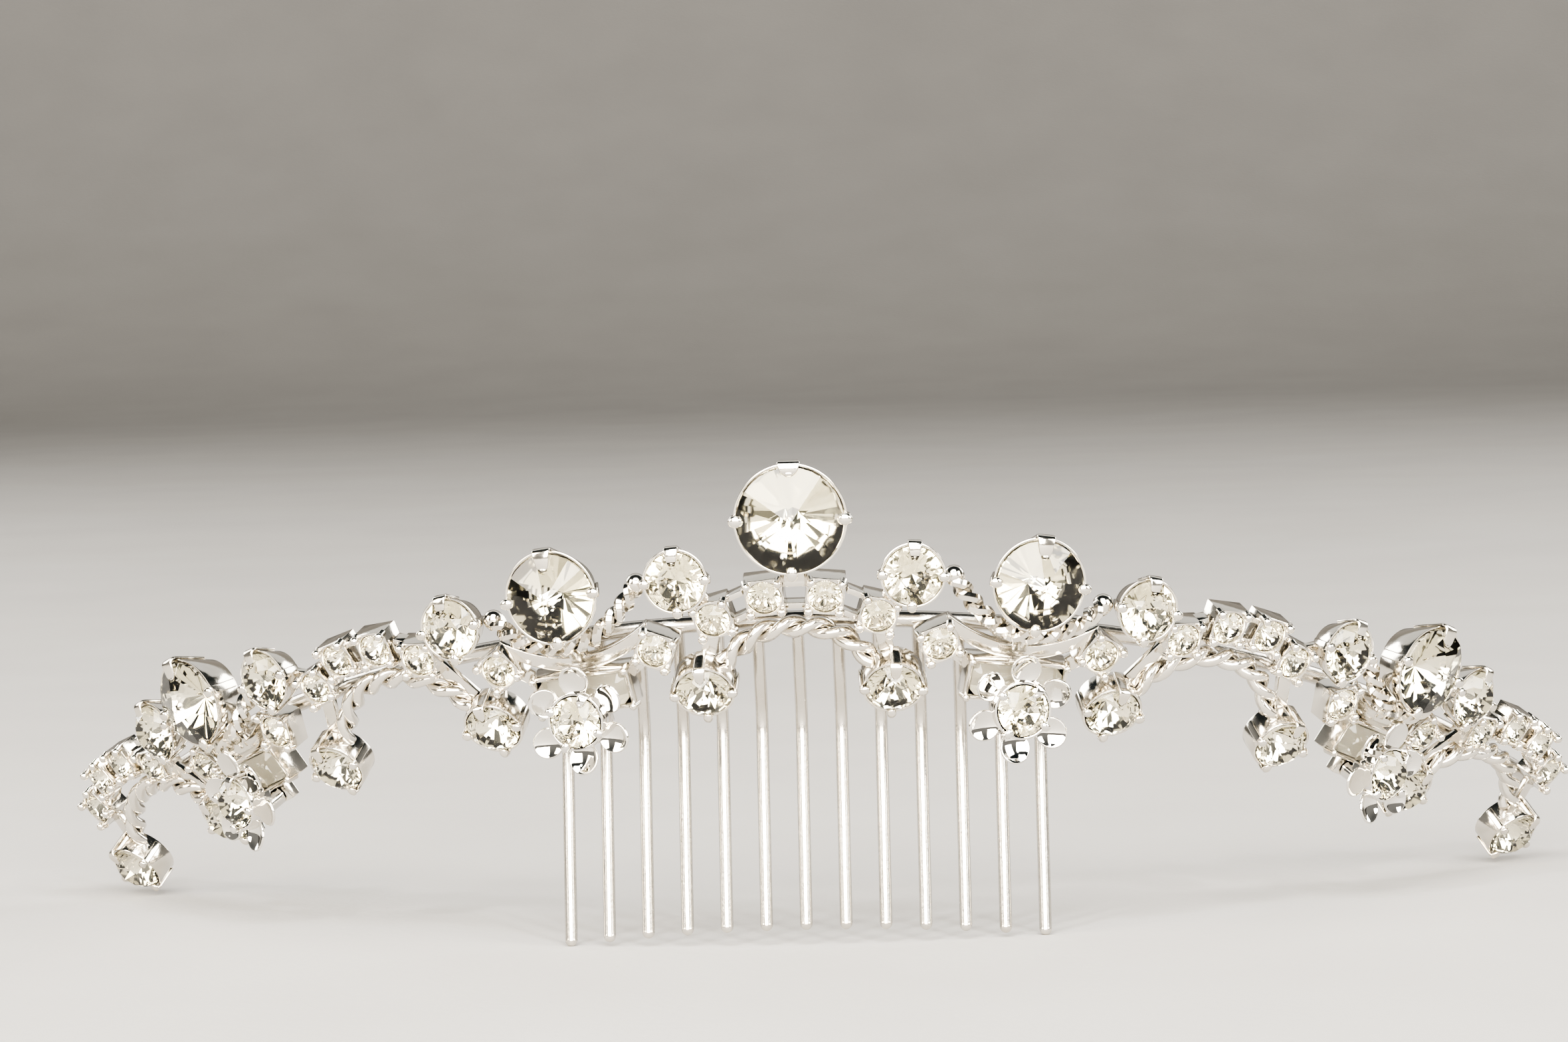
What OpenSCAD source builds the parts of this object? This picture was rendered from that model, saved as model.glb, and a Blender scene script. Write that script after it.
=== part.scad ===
// Bridal tiara comb with cup-set crystals, all sizes in millimetres.
// The ornaments stand on a flared band that follows a circle; the comb
// teeth hang from the wire behind it. The part is drawn as it rests on a
// table: on its two outer tooth tips and on the claws of its last two drops.

/* [Band] */
// Radius of the circle that the row of ornaments follows
band_radius = 61; // [50:0.5:80]
// Length of the round part on each side of the centre
round_length = 55; // [30:1:80]
// Radius of the straighter ends beyond the round part
end_radius = 150; // [80:5:400]
// How far the ornaments lean out from upright, in degrees
flare = 43.5; // [0:0.5:60]
// Radius of the base wire
wire_radius = 0.7; // [0.4:0.05:1.5]
// Length of the wire on each side of the centre
wire_half_length = 83.4; // [70:0.2:90]
// Radius of the ball that closes each end of the wire
end_ball_radius = 1; // [0.8:0.05:2]
// Height of the wire on the ornaments' back
wire_height = -1; // [-3:0.1:2]
// Wall of the sleeves that join the wire's lengths
sleeve_wall = 0.12; // [0.08:0.01:0.4]
// Length of a sleeve
sleeve_length = 2.4; // [1:0.1:6]

/* [Comb] */
// Number of comb teeth
tooth_count = 13; // [5:2:21]
// Distance from tooth to tooth
tooth_pitch = 3.2; // [2.4:0.1:6]
// Length of a tooth's upper run, behind the ornaments
tooth_run = 9; // [4:0.2:14]
// Length of a tooth below its bend, down to the tip
tooth_length = 16.8; // [8:0.2:30]
// Radius of a tooth
tooth_radius = 0.5; // [0.3:0.05:1]
// How far the upper run leans back from the band's axis, in degrees
run_lean = 50; // [40:1:65]
// How far the bead at a tooth's bend stands proud
bend_bead = 0.06; // [0.04:0.01:0.2]
// How far the teeth lean back below the bend, in degrees
tooth_lean = 14; // [0:1:45]

/* [Round stones] */
// Girdle diameter of the stones along the top edge
top_stone_d = 4.7; // [3:0.1:6]
// Girdle diameter of the stones that hang below the junctions
drop_stone_d = 4.4; // [3:0.1:5.5]
// Girdle diameter of the stones in the flowers
flower_stone_d = 4.1; // [3:0.1:5]
// Girdle diameter of the four large pointed stones
gem_stone_d = 7.1; // [5:0.1:8.5]
// Girdle diameter of the pointed stone at the top of the centre
crest_stone_d = 8.4; // [6:0.1:11]
// Wall of the round cups
cup_wall = 0.22; // [0.15:0.01:0.5]
// Gap between a stone and its cup
stone_clearance = 0.08; // [0.04:0.01:0.2]
// Width of a claw
claw_width = 0.8; // [0.4:0.05:1.4]
// Thickness of a claw
claw_thickness = 0.3; // [0.2:0.02:0.6]
// How far the drop stones face down from the band, in degrees
drop_nod = 15; // [0:1:30]
// How far the stones along the top edge face up from the band, in degrees
top_lift = 14; // [0:1:25]
// How far the four large pointed stones face up from the band, in degrees
gem_lift = 14; // [0:1:25]
// How far the centre's pointed stone faces up from the band, in degrees
crest_lift = 12; // [0:1:25]
// Width of an upper cup's foot as a share of its rim
cup_taper = 0.72; // [0.65:0.01:1]

/* [Square cups] */
// Outer side of a small square cup
square_side = 3.1; // [2.6:0.1:4]
// Depth of a small square cup
square_depth = 2.1; // [1.5:0.1:3]
// Girdle diameter of the stone in a small square cup
square_stone_d = 2.6; // [2:0.1:3.4]
// Radius of the bead prong on each corner
bead_radius = 0.32; // [0.2:0.02:0.5]
// Width of the flat links between round and square cups
link_width = 1.2; // [0.6:0.1:2]
// Width of each of the two bars between the cups of an arch
bar_width = 0.5; // [0.3:0.05:0.9]
// Distance between the middles of those two bars
bar_spread = 1.9; // [1.2:0.1:2.4]
// Thickness of the flat links between cups
link_thickness = 0.6; // [0.3:0.05:1]

/* [Long stones] */
// Length of the long stone behind each flower
long_stone_l = 7.4; // [5:0.1:9]
// Height of the long stone behind each flower
long_stone_w = 2.7; // [2:0.1:4]
// Wall of its box setting
box_wall = 0.35; // [0.2:0.05:0.8]
// Depth of its box setting
box_depth = 2.2; // [1.6:0.1:3]

/* [Ropes and strips] */
// Radius of each strand of the coarse rope under the arches
coarse_strand = 0.48; // [0.25:0.01:0.7]
// Length of one lobe of the coarse rope
coarse_lobe = 2.2; // [1.2:0.1:4]
// Radius of each strand of the fine rope under the large stones
fine_strand = 0.38; // [0.2:0.01:0.6]
// Length of one lobe of the fine rope
fine_lobe = 1.2; // [0.8:0.1:3]
// Width of the smooth strip below the fine rope
strip_width = 1.3; // [0.6:0.1:2.5]
// Thickness of the smooth strip
strip_thickness = 0.5; // [0.3:0.05:1]

/* [Flowers] */
// Number of petals
petal_count = 6; // [4:1:8]
// Diameter of one round spoon petal
petal_d = 2.5; // [1.6:0.1:3.4]
// Distance of the petals from the middle of the flower
petal_reach = 3.25; // [2.4:0.05:4.5]
// Height of the petals on the side of the flower's cup
petal_rise = 1; // [0.4:0.1:1.6]
// Thickness of the petals
petal_wall = 0.3; // [0.2:0.02:0.6]
// Height of the back of the flower in front of the band
flower_stand = 3.3; // [2.8:0.1:6]
// How far the flowers face up from the band, in degrees
flower_lift = 16; // [0:1:25]
// Radius of the post that carries the flower
post_radius = 0.75; // [0.4:0.05:1.2]

/* [Hidden] */
$fn = 48;
eps = 0.05;
// Gap left between separate pieces.
fit = 0.12;
// Thickness of the cups' floors.
cup_floor = 0.35;

// Places along the band and up the band, in millimetres.
// Junctions: [top stone along, up, drop stone along, up]
junctions = [
  [8.8, 4.2, 7.9, -5.1],
  [27.4, 2.7, 27.2, -6],
  [46.6, 2.7, 44.9, -6],
  [63.2, 3, 62.8, -6.1],
];
// The last drop stone closes each end: [along, up]
end_drop = [81.6, -5.2];
// Arches: [middle, half width to the last cup]
arches = [[-74, 6.4], [-36.8, 5.4], [0, 6.4], [36.8, 5.4], [74, 6.4]];
// Large stones: [along, up, flower along, flower up]
gems = [
  [-54.9, 3.8, -54.9, -5.2],
  [-18.1, 4.3, -18.1, -5.7],
  [18.1, 4.3, 18.1, -5.7],
  [54.9, 3.8, 54.9, -5.2],
];
// Heights of the centre stone, of an arch's middle and ends, of the
// rope's middle and of the cups beside a gem unit.
crest_height = 9.6;
arch_top = 2.2;
arch_end = 0.5;
rope_top = -0.75;
side_height = -1.8;
// Distance of the side cups from the top stones, along the band.
side_step = 2.6;
// Distance of the gem units' ropes from the face of the band.
rope_out = 2.6;
// Length of the bar under the centre stone's post.
crest_bar = 4.4;

wire_offset = -wire_radius - 0.2;
turn_angle = round_length / band_radius * 180 / PI;

// A point of the flared band: along it, up it and in front of it.
function side_of(s) = s < 0 ? -1 : 1;
function round_part(s) = min(abs(s), round_length) / band_radius;
function end_part(s) = max(abs(s) - round_length, 0) / end_radius;
function heading(s) = side_of(s) * (round_part(s) + end_part(s)) * 180 / PI;
function bend_radius(s) = abs(s) > round_length ? end_radius : band_radius;
function bend_centre(s) =
  abs(s) > round_length
  ? [-side_of(s) * (end_radius - band_radius) * sin(turn_angle), band_radius + (end_radius - band_radius) * cos(turn_angle)]
  : [0, band_radius];
function face_point(s, v, d) =
  let (
    c = bend_centre(s),
    r = bend_radius(s) + v * sin(flare) + d * cos(flare),
    h = heading(s)
  )
  [c[0] + r * sin(h), c[1] - r * cos(h), v * cos(flare) - d * sin(flare)];
function face_out(s) = [cos(flare) * sin(heading(s)), -cos(flare) * cos(heading(s)), -sin(flare)];
function face_up(s) = [sin(flare) * sin(heading(s)), -sin(flare) * cos(heading(s)), cos(flare)];
function face_along(s) = [cos(heading(s)), sin(heading(s)), 0];
function wire_point(s) = face_point(s, wire_height, wire_offset);

// Heights of the stones' parts as shares of their diameter.
function crown_of(d) = 0.19 * d;
function pavilion_of(d) = 0.38 * d;
function cup_depth(d) = pavilion_of(d) + 0.6;
function cup_bore(d) = d / 2 + stone_clearance;
function cup_radius(d) = cup_bore(d) + cup_wall;
function claw_top(d) = cup_depth(d) + crown_of(d) * 0.5 + 0.45;

// At rest the outer tooth tips and the claws of the last two drop cups are
// level; the tilt that does this is found by halving.
comb_half = (tooth_count - 1) / 2 * tooth_pitch;
tooth_root = wire_point(comb_half * (band_radius / norm([wire_point(0)[0], wire_point(0)[1] - band_radius])));
function lean_way(a) = [0, sin(a), -cos(a)];
tip = tooth_root + tooth_run * lean_way(run_lean) + tooth_length * lean_way(tooth_lean);
function table_y(p, t) = p[1] * cos(t) + p[2] * sin(t);
function table_z(p, t) = p[2] * cos(t) - p[1] * sin(t);

// A point of the last drop cup: across it, up it and out of it.
function drop_spot(q) =
  face_point(end_drop[0], end_drop[1], 0)
  + q[0] * face_along(end_drop[0])
  + (q[1] * cos(drop_nod) - q[2] * sin(drop_nod)) * face_up(end_drop[0])
  + (q[1] * sin(drop_nod) + q[2] * cos(drop_nod)) * face_out(end_drop[0]);
claw_reach = cup_radius(drop_stone_d) - eps + claw_thickness;
drop_corners = [
  for (z = [0, claw_top(drop_stone_d)], w = [-claw_width / 2, claw_width / 2], side = [-1, 1])
    for (q = [[w, side * claw_reach, z], [side * claw_reach, w, z]])
      drop_spot(q)
];
function rim_low(t) = min([for (p = drop_corners) table_z(p, t)]);
function tip_low(t) = table_z(tip, t) - tooth_radius;
function level_tilt(low, high, n) =
  let (mid = (low + high) / 2)
  n == 0 ? mid
  : rim_low(mid) > tip_low(mid) ? level_tilt(mid, high, n - 1)
  : level_tilt(low, mid, n - 1);
rest_tilt = level_tilt(0, 60, 24);
floor_drop = -tip_low(rest_tilt);

// Foremost and rearmost points of the part, which set its middle: the
// centre stone's upper claw and the wire's ball ends.
crest_rim = cup_radius(crest_stone_d) + claw_thickness - eps;
crest_claw = claw_top(crest_stone_d) - cup_depth(crest_stone_d);
crest_front = face_point(
  0,
  crest_height + crest_rim * cos(crest_lift) + crest_claw * sin(crest_lift),
  cup_depth(crest_stone_d) - crest_rim * sin(crest_lift) + crest_claw * cos(crest_lift)
);
front_reach = table_y(crest_front, rest_tilt);
back_reach = table_y(wire_point(wire_half_length), rest_tilt) + end_ball_radius;

module stand() {
  translate([0, -(front_reach + back_reach) / 2, floor_drop])
    rotate([-rest_tilt, 0, 0])
      children();
}

module on_face(s, v, d = 0) {
  translate(face_point(s, v, d))
    rotate([90 + flare, 0, heading(s)])
      children();
}

// Seats a round cup that is lifted about the middle of its stone.
module lifted(s, v, d, stone_d, lift) {
  on_face(s, v, d)
    translate([0, 0, cup_depth(stone_d)])
      rotate([-lift, 0, 0])
        translate([0, 0, -cup_depth(stone_d)])
          children();
}

// A round brilliant: n corners, a flat table and a point below.
module brilliant(d, n, table = 0.5, turn = 0) {
  girdle = 0.05 * d;
  r = d / 2;
  points = concat(
    [[0, 0, -pavilion_of(d)]],
    [for (i = [0:n - 1]) [r * cos((i + turn) * 360 / n), r * sin((i + turn) * 360 / n), 0]],
    [for (i = [0:n - 1]) [r * cos((i + turn) * 360 / n), r * sin((i + turn) * 360 / n), girdle]],
    [for (i = [0:n - 1]) [r * table * cos((i + 0.5 + turn) * 360 / n), r * table * sin((i + 0.5 + turn) * 360 / n), girdle + crown_of(d)]]
  );
  low = 1;
  mid = 1 + n;
  top = 1 + 2 * n;
  faces = concat(
    [for (i = [0:n - 1]) [0, low + i, low + (i + 1) % n]],
    [for (i = [0:n - 1]) [low + i, mid + i, low + (i + 1) % n]],
    [for (i = [0:n - 1]) [mid + i, mid + (i + 1) % n, low + (i + 1) % n]],
    [for (i = [0:n - 1]) [mid + i, top + i, mid + (i + 1) % n]],
    [for (i = [0:n - 1]) [top + i, top + (i + 1) % n, mid + (i + 1) % n]],
    [[for (i = [0:n - 1]) top + n - 1 - i]]
  );
  polyhedron(points, faces);
}

// A round cup with four claws; its stone's girdle lies at the cup's rim.
// The claws of a tapered cup follow its wall up to the rim.
module round_cup(d, turn = 0, taper = 1) {
  r = cup_radius(d);
  h = cup_depth(d);
  rise = claw_top(d);
  slope = atan(r * (1 - taper) / h);
  upright = taper < 1 ? h - 0.3 : 0;
  difference() {
    cylinder(r1 = r * taper, r2 = r, h = h);
    translate([0, 0, cup_floor])
      cylinder(
        r1 = cup_bore(d) - (h - cup_floor) * tan(slope),
        r2 = cup_bore(d) + cup_floor * tan(slope),
        h = h
      );
  }
  for (i = [0:3])
    rotate([0, 0, turn + i * 90]) {
      if (taper < 1)
        translate([r, 0, h])
          rotate([0, slope, 0])
            translate([-eps, -claw_width * 0.45, -h * 0.95 / cos(slope)])
              cube([claw_thickness, claw_width * 0.9, h * 0.95 / cos(slope)]);
      translate([r - eps, -claw_width / 2, upright])
        cube([claw_thickness, claw_width, rise - upright]);
      translate([d / 2 - 0.35, -claw_width / 2, rise - claw_thickness])
        cube([r - d / 2 + 0.35 + claw_thickness / 2, claw_width, claw_thickness]);
    }
}

module round_stone(d, n, table = 0.5, turn = 0) {
  translate([0, 0, cup_depth(d) - 0.1])
    brilliant(d, n, table, turn);
}

square_bore = square_stone_d / 2 + stone_clearance;

// A square cup with a round seat and a bead prong on each corner.
module square_cup() {
  s = square_side / 2;
  difference() {
    translate([-s, -s, 0])
      cube([square_side, square_side, square_depth]);
    translate([0, 0, cup_floor])
      cylinder(r = square_bore, h = square_depth);
  }
  for (x = [-1, 1], y = [-1, 1])
    translate([x * (s - bead_radius * 0.6), y * (s - bead_radius * 0.6), square_depth - 0.6])
      cylinder(r = bead_radius, h = 1.1);
}

module square_stone() {
  translate([0, 0, square_depth - 0.25])
    brilliant(square_stone_d, 8, 0.5, 0.5);
}

// Twisted two-strand rope along a path of points with the band's outward
// direction at each; its section is a flat oval that turns with the twist.
function path_length(path, i = 0) = i >= len(path) - 1 ? 0 : norm(path[i + 1] - path[i]) + path_length(path, i + 1);

module rope(path, outs, strand, lobe) {
  count = len(path);
  step = path_length(path) / (count - 1);
  section = [
    [2 * strand, 0], [strand, strand], [-strand, strand],
    [-2 * strand, 0], [-strand, -strand], [strand, -strand]
  ];
  k = len(section);
  points = [
    for (i = [0:count - 1])
      let (
        ahead = path[min(i + 1, count - 1)] - path[max(i - 1, 0)],
        t = ahead / norm(ahead),
        side0 = cross(t, outs[i]),
        side = side0 / norm(side0),
        up = cross(t, side),
        turn = -180 * i * step / lobe
      )
      for (q = section)
        path[i]
          + side * (q[0] * cos(turn) - q[1] * sin(turn))
          + up * (q[0] * sin(turn) + q[1] * cos(turn))
  ];
  faces = concat(
    [[for (j = [0:k - 1]) j]],
    [for (i = [0:count - 2], j = [0:k - 1]) [i * k + j, (i + 1) * k + j, i * k + (j + 1) % k]],
    [for (i = [0:count - 2], j = [0:k - 1]) [(i + 1) * k + j, (i + 1) * k + (j + 1) % k, i * k + (j + 1) % k]],
    [[for (j = [0:k - 1]) (count - 1) * k + k - 1 - j]]
  );
  polyhedron(points, faces);
}

// A flat link from one setting to the next. Each end is [along, up,
// distance from the setting's middle at which the link enters its wall].
// An open link is two bars with a gap between them.
module link(one, two, open = false) {
  from = face_point(one[0], one[1], 0);
  to = face_point(two[0], two[1], 0);
  reach = norm(to - from);
  rise = two[1] - one[1];
  run = sqrt(max(reach * reach - rise * rise, 0)) * side_of(two[0] - one[0]);
  share = (one[2] + reach - two[2]) / (2 * reach);
  inner = reach - one[2] - two[2];
  on_face(one[0] + (two[0] - one[0]) * share, one[1] + rise * share, 0.4)
    rotate([0, 0, atan2(rise, run)])
      for (y = open ? [-bar_spread / 2, bar_spread / 2] : [0])
        translate([-inner / 2, y - (open ? bar_width : link_width) / 2, 0])
          cube([inner, open ? bar_width : link_width, link_thickness * (open ? 2 : 1)]);
}

square_entry = square_bore + 0.04;
function round_entry(d) = cup_bore(d) + 0.05;
// A lifted and tapered cup stands back from its stone's edge at its foot.
top_entry = cup_bore(top_stone_d) * 0.9;

// The drop stones at the left and right end of each arch.
function mirrored(j, side) = [side * j[2], j[3]];
arch_drops = [
  [[-end_drop[0], end_drop[1]], mirrored(junctions[3], -1)],
  [mirrored(junctions[2], -1), mirrored(junctions[1], -1)],
  [mirrored(junctions[0], -1), mirrored(junctions[0], 1)],
  [mirrored(junctions[1], 1), mirrored(junctions[2], 1)],
  [mirrored(junctions[3], 1), end_drop]
];
// The top stones at the ends of each arch; the outer ends have none.
arch_tops = [
  [[-junctions[3][0], junctions[3][1]]],
  [[-junctions[2][0], junctions[2][1]], [-junctions[1][0], junctions[1][1]]],
  [[-junctions[0][0], junctions[0][1]], [junctions[0][0], junctions[0][1]]],
  [[junctions[1][0], junctions[1][1]], [junctions[2][0], junctions[2][1]]],
  [[junctions[3][0], junctions[3][1]]]
];

// The rope bows from one drop stone's cup up to the arch and down again.
// Its ends are soldered into the walls of the two cups, which nod forward.
module arch_rope(k) {
  n = 32;
  lands = cup_bore(drop_stone_d) + 0.1;
  nod_shift = [0, -tan(drop_nod)];
  left = arch_drops[k][0] + lands * [0.75, 0.66] + nod_shift;
  right = arch_drops[k][1] + lands * [-0.75, 0.66] + nod_shift;
  middle = (left[0] + right[0]) / 2;
  half = (right[0] - left[0]) / 2;
  steps = [for (i = [0:n]) -1 + 2 * i / n];
  path = [
    for (x = steps)
      let (end = x < 0 ? left[1] : right[1])
      face_point(middle + x * half, rope_top + (end - rope_top) * pow(abs(x), 2.4), 1)
  ];
  outs = [for (x = steps) face_out(middle + x * half)];
  rope(path, outs, coarse_strand, coarse_lobe);
}

function cup_places(k) =
  let (m = arches[k][0], half = arches[k][1])
  [[m - half, arch_end], [m - half * 0.36, arch_top], [m + half * 0.36, arch_top], [m + half, arch_end]];
function cup_turn(k, p) = (arches[k][0] - p[0]) * 2;

module on_drop(p) {
  on_face(p[0], p[1])
    rotate([drop_nod, 0, 0])
      children();
}

module arch_metal(k) {
  places = cup_places(k);
  for (p = places)
    on_face(p[0], p[1])
      rotate([0, 0, cup_turn(k, p)])
        square_cup();
  for (i = [0:2])
    link([each places[i], square_entry], [each places[i + 1], square_entry], open = true);
  arch_rope(k);
  for (i = [0, 1]) {
    p = arch_drops[k][i];
    on_drop(p)
      round_cup(drop_stone_d, 90);
    link([each places[i * 3], square_entry], [each p, round_entry(drop_stone_d)]);
  }
  for (p = arch_tops[k]) {
    near = abs(p[0] - places[0][0]) < abs(p[0] - places[3][0]) ? places[0] : places[3];
    lifted(p[0], p[1], 0, top_stone_d, top_lift)
      round_cup(top_stone_d, 90, cup_taper);
    link([each near, square_entry], [each p, top_entry]);
  }
}

module arch_stones(k) {
  for (p = cup_places(k))
    on_face(p[0], p[1])
      rotate([0, 0, cup_turn(k, p)])
        square_stone();
}

// The short post and cup that carry the centre stone above the arch.
module crest_seat() {
  low = arch_top + square_side / 2 - 0.5;
  foot = cup_radius(crest_stone_d) * cup_taper * cos(crest_lift) + cup_depth(crest_stone_d) * sin(crest_lift);
  high = crest_height - foot + 0.12;
  on_face(0, low, 0.4)
    translate([-1, 0, 0])
      cube([2, high - low, 1.2]);
  on_face(0, arch_top, 0.4)
    translate([-crest_bar / 2, square_side / 2 - 0.6, 0])
      cube([crest_bar, 0.6, 0.8]);
}

// The top stones at the two ends of a gem unit.
gem_ends = [
  [[-junctions[3][0], junctions[3][1]], [-junctions[2][0], junctions[2][1]]],
  [[-junctions[1][0], junctions[1][1]], [-junctions[0][0], junctions[0][1]]],
  [[junctions[0][0], junctions[0][1]], [junctions[1][0], junctions[1][1]]],
  [[junctions[2][0], junctions[2][1]], [junctions[3][0], junctions[3][1]]]
];
function gem_foot(k) = gems[k][1] - cup_radius(gem_stone_d);

// The fine rope hangs in a U from top stone to top stone.
module gem_rope(k) {
  n = 40;
  dip = gem_foot(k) - fine_strand * 2;
  clear = cup_radius(top_stone_d) + claw_thickness + 2 * fine_strand + fit;
  left = gem_ends[k][0] + [clear, -0.9];
  right = gem_ends[k][1] + [-clear, -0.9];
  middle = (left[0] + right[0]) / 2;
  half = (right[0] - left[0]) / 2;
  steps = [for (i = [0:n]) -1 + 2 * i / n];
  path = [
    for (x = steps)
      let (end = x < 0 ? left[1] : right[1])
      face_point(middle + x * half, dip + (end - dip) * pow(abs(x), 2), rope_out)
  ];
  outs = [for (x = steps) face_out(middle + x * half)];
  rope(path, outs, fine_strand, fine_lobe);
}

// A neck behind the rope joins the large cup, the rope and the strip.
module neck(k) {
  low = strip_dip(k);
  on_face(gems[k][0], low, 0.3)
    translate([-0.7, 0, 0]) {
      cube([1.4, gem_foot(k) + 0.45 - low, 1]);
      translate([0, gem_foot(k) - 1 - low, 0])
        cube([1.4, 1.45, rope_out - 0.3]);
    }
}

// The smooth strip is a flat bar bent into a shallow U below the rope.
strip_rise = 2.3;
strip_clear = 3.1;
// Room left between the large cup and the flower of a unit.
function spare(k) = gems[k][1] - gems[k][3] - 8.5;
function strip_dip(k) = gem_foot(k) - 3 * fine_strand - strip_width / 2 + 0.1 - spare(k) * 0.85;

module gem_strip(k) {
  n = 18;
  a0 = gem_ends[k][0][0] + strip_clear;
  a1 = gem_ends[k][1][0] - strip_clear;
  h = strip_width / 2;
  section = [[-h, 0.3], [h, 0.3], [h, 0.3 + 2 * strip_thickness], [-h, 0.3 + 2 * strip_thickness]];
  points = [
    for (i = [0:n])
      let (x = -1 + 2 * i / n, a = (a0 + a1) / 2 + x * (a1 - a0) / 2, v = strip_dip(k) + strip_rise * pow(abs(x), 2))
      for (q = section)
        face_point(a, v + q[0], q[1])
  ];
  faces = concat(
    [[0, 1, 2, 3]],
    [for (i = [0:n - 1], j = [0:3]) [i * 4 + (j + 1) % 4, i * 4 + j, (i + 1) * 4 + j]],
    [for (i = [0:n - 1], j = [0:3]) [(i + 1) * 4 + j, (i + 1) * 4 + (j + 1) % 4, i * 4 + (j + 1) % 4]],
    [[n * 4 + 3, n * 4 + 2, n * 4 + 1, n * 4]]
  );
  polyhedron(points, faces);
}

// The box for the long stone hangs under the strip.
box_l = long_stone_l + 2 * (stone_clearance + box_wall);
box_w = long_stone_w + 2 * (stone_clearance + box_wall);
function box_height(k) = strip_dip(k) - strip_width / 2 - box_w / 2 + 0.2;

module long_box() {
  difference() {
    translate([-box_l / 2, -box_w / 2, 0])
      cube([box_l, box_w, box_depth]);
    translate([-box_l / 2 + box_wall, -box_w / 2 + box_wall, cup_floor])
      cube([box_l - 2 * box_wall, box_w - 2 * box_wall, box_depth]);
  }
  for (x = [-1, 1], y = [-1, 1])
    translate([x * (box_l / 2 - bead_radius * 0.3), y * (box_w / 2 - bead_radius * 0.3), box_depth - 0.8])
      cylinder(r = bead_radius, h = 1.2);
}

// A step-cut long stone with a table.
module long_stone_body() {
  l = long_stone_l / 2;
  w = long_stone_w / 2;
  c = 0.5;
  rows = [[0.15, 0.05, 0], [1, 1, 0.9], [1, 1, 1.1], [0.86, 0.66, 1.5], [0.76, 0.46, 1.65]];
  points = [
    for (q = rows)
      let (x = l - w + w * q[1], y = w * q[1], b = c * q[1])
      for (p = [[x, -y + b], [x, y - b], [x - b, y], [-x + b, y], [-x, y - b], [-x, -y + b], [-x + b, -y], [x - b, -y]])
        [p[0], p[1], q[2]]
  ];
  faces = concat(
    [[7, 6, 5, 4, 3, 2, 1, 0]],
    [for (i = [0:len(rows) - 2], j = [0:7]) [i * 8 + j, i * 8 + (j + 1) % 8, (i + 1) * 8 + (j + 1) % 8, (i + 1) * 8 + j]],
    [[for (j = [0:7]) (len(rows) - 1) * 8 + j]]
  );
  translate([0, 0, box_depth - 1.2])
    mirror([0, 0, 0])
      polyhedron(points, [for (f = faces) [for (j = [len(f) - 1:-1:0]) f[j]]]);
}

// The small side cups stand below the gem unit's two top stones.
function side_places(k) = [
  [gem_ends[k][0][0] + side_step, side_height],
  [gem_ends[k][1][0] - side_step, side_height]
];
side_turn = 25;

// The flower's post stands on a tab just below the box.
function post_up(k) = box_height(k) - box_w / 2 - fit - post_radius;

module gem_metal(k) {
  g = gems[k];
  h = box_height(k);
  lifted(g[0], g[1], 0, gem_stone_d, gem_lift)
    round_cup(gem_stone_d, 90, cup_taper);
  gem_rope(k);
  neck(k);
  gem_strip(k);
  on_face(g[0], h)
    long_box();
  for (i = [0, 1]) {
    p = side_places(k)[i];
    side = 1 - 2 * i;
    on_face(p[0], p[1])
      rotate([0, 0, side * side_turn])
        square_cup();
    link([each p, square_entry], [g[0] - side * (box_l / 2 - 0.3), h + box_w / 2 - 0.9, 0]);
    link([each p, square_entry], [p[0] + side * 1.4, strip_dip(k) + strip_rise * 0.55, 0]);
  }
  on_face(g[2], post_up(k) - post_radius, 0.3)
    translate([-1.3, 0, 0])
      cube([2.6, 2 * post_radius + fit + 0.2, 1]);
}

module side_stones(k) {
  for (i = [0, 1])
    let (p = side_places(k)[i], side = 1 - 2 * i)
    on_face(p[0], p[1])
      rotate([0, 0, side * side_turn])
        square_stone();
}

// One spoon petal: a piece of a thin round bowl, hollow side forward.
module petal() {
  bowl = petal_d * 0.72;
  intersection() {
    translate([0, 0, bowl])
      difference() {
        sphere(r = bowl);
        sphere(r = bowl - petal_wall);
      }
    translate([0, 0, -1])
      cylinder(d = petal_d, h = bowl * 0.8 + 1);
  }
}

module flower_metal(k) {
  g = gems[k];
  lifted(g[2], g[3], flower_stand, flower_stone_d, flower_lift) {
    round_cup(flower_stone_d, 60);
    for (i = [0:petal_count - 1])
      rotate([0, 0, 88 + i * 360 / petal_count]) {
        translate([petal_reach, 0, petal_rise])
          rotate([0, -18, 0])
            petal();
        translate([2.2, -0.45, petal_rise - 0.3])
          cube([0.8, 0.9, 0.6]);
      }
  }
  on_face(g[2], g[3], flower_stand)
    translate([0, post_up(k) - g[3], 1.3 + fit - flower_stand])
      cylinder(r = post_radius, h = flower_stand - 1.3 - fit + 0.65);
}

// The base wire with its ball ends, and the comb teeth that hang from it.
// Its middle is one arc and each straighter end is another.
module wire_arc(radius, from, sweep) {
  rotate([0, 0, from - 90])
    rotate_extrude(angle = sweep)
      translate([radius, 0])
        circle(r = wire_radius);
}

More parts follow.
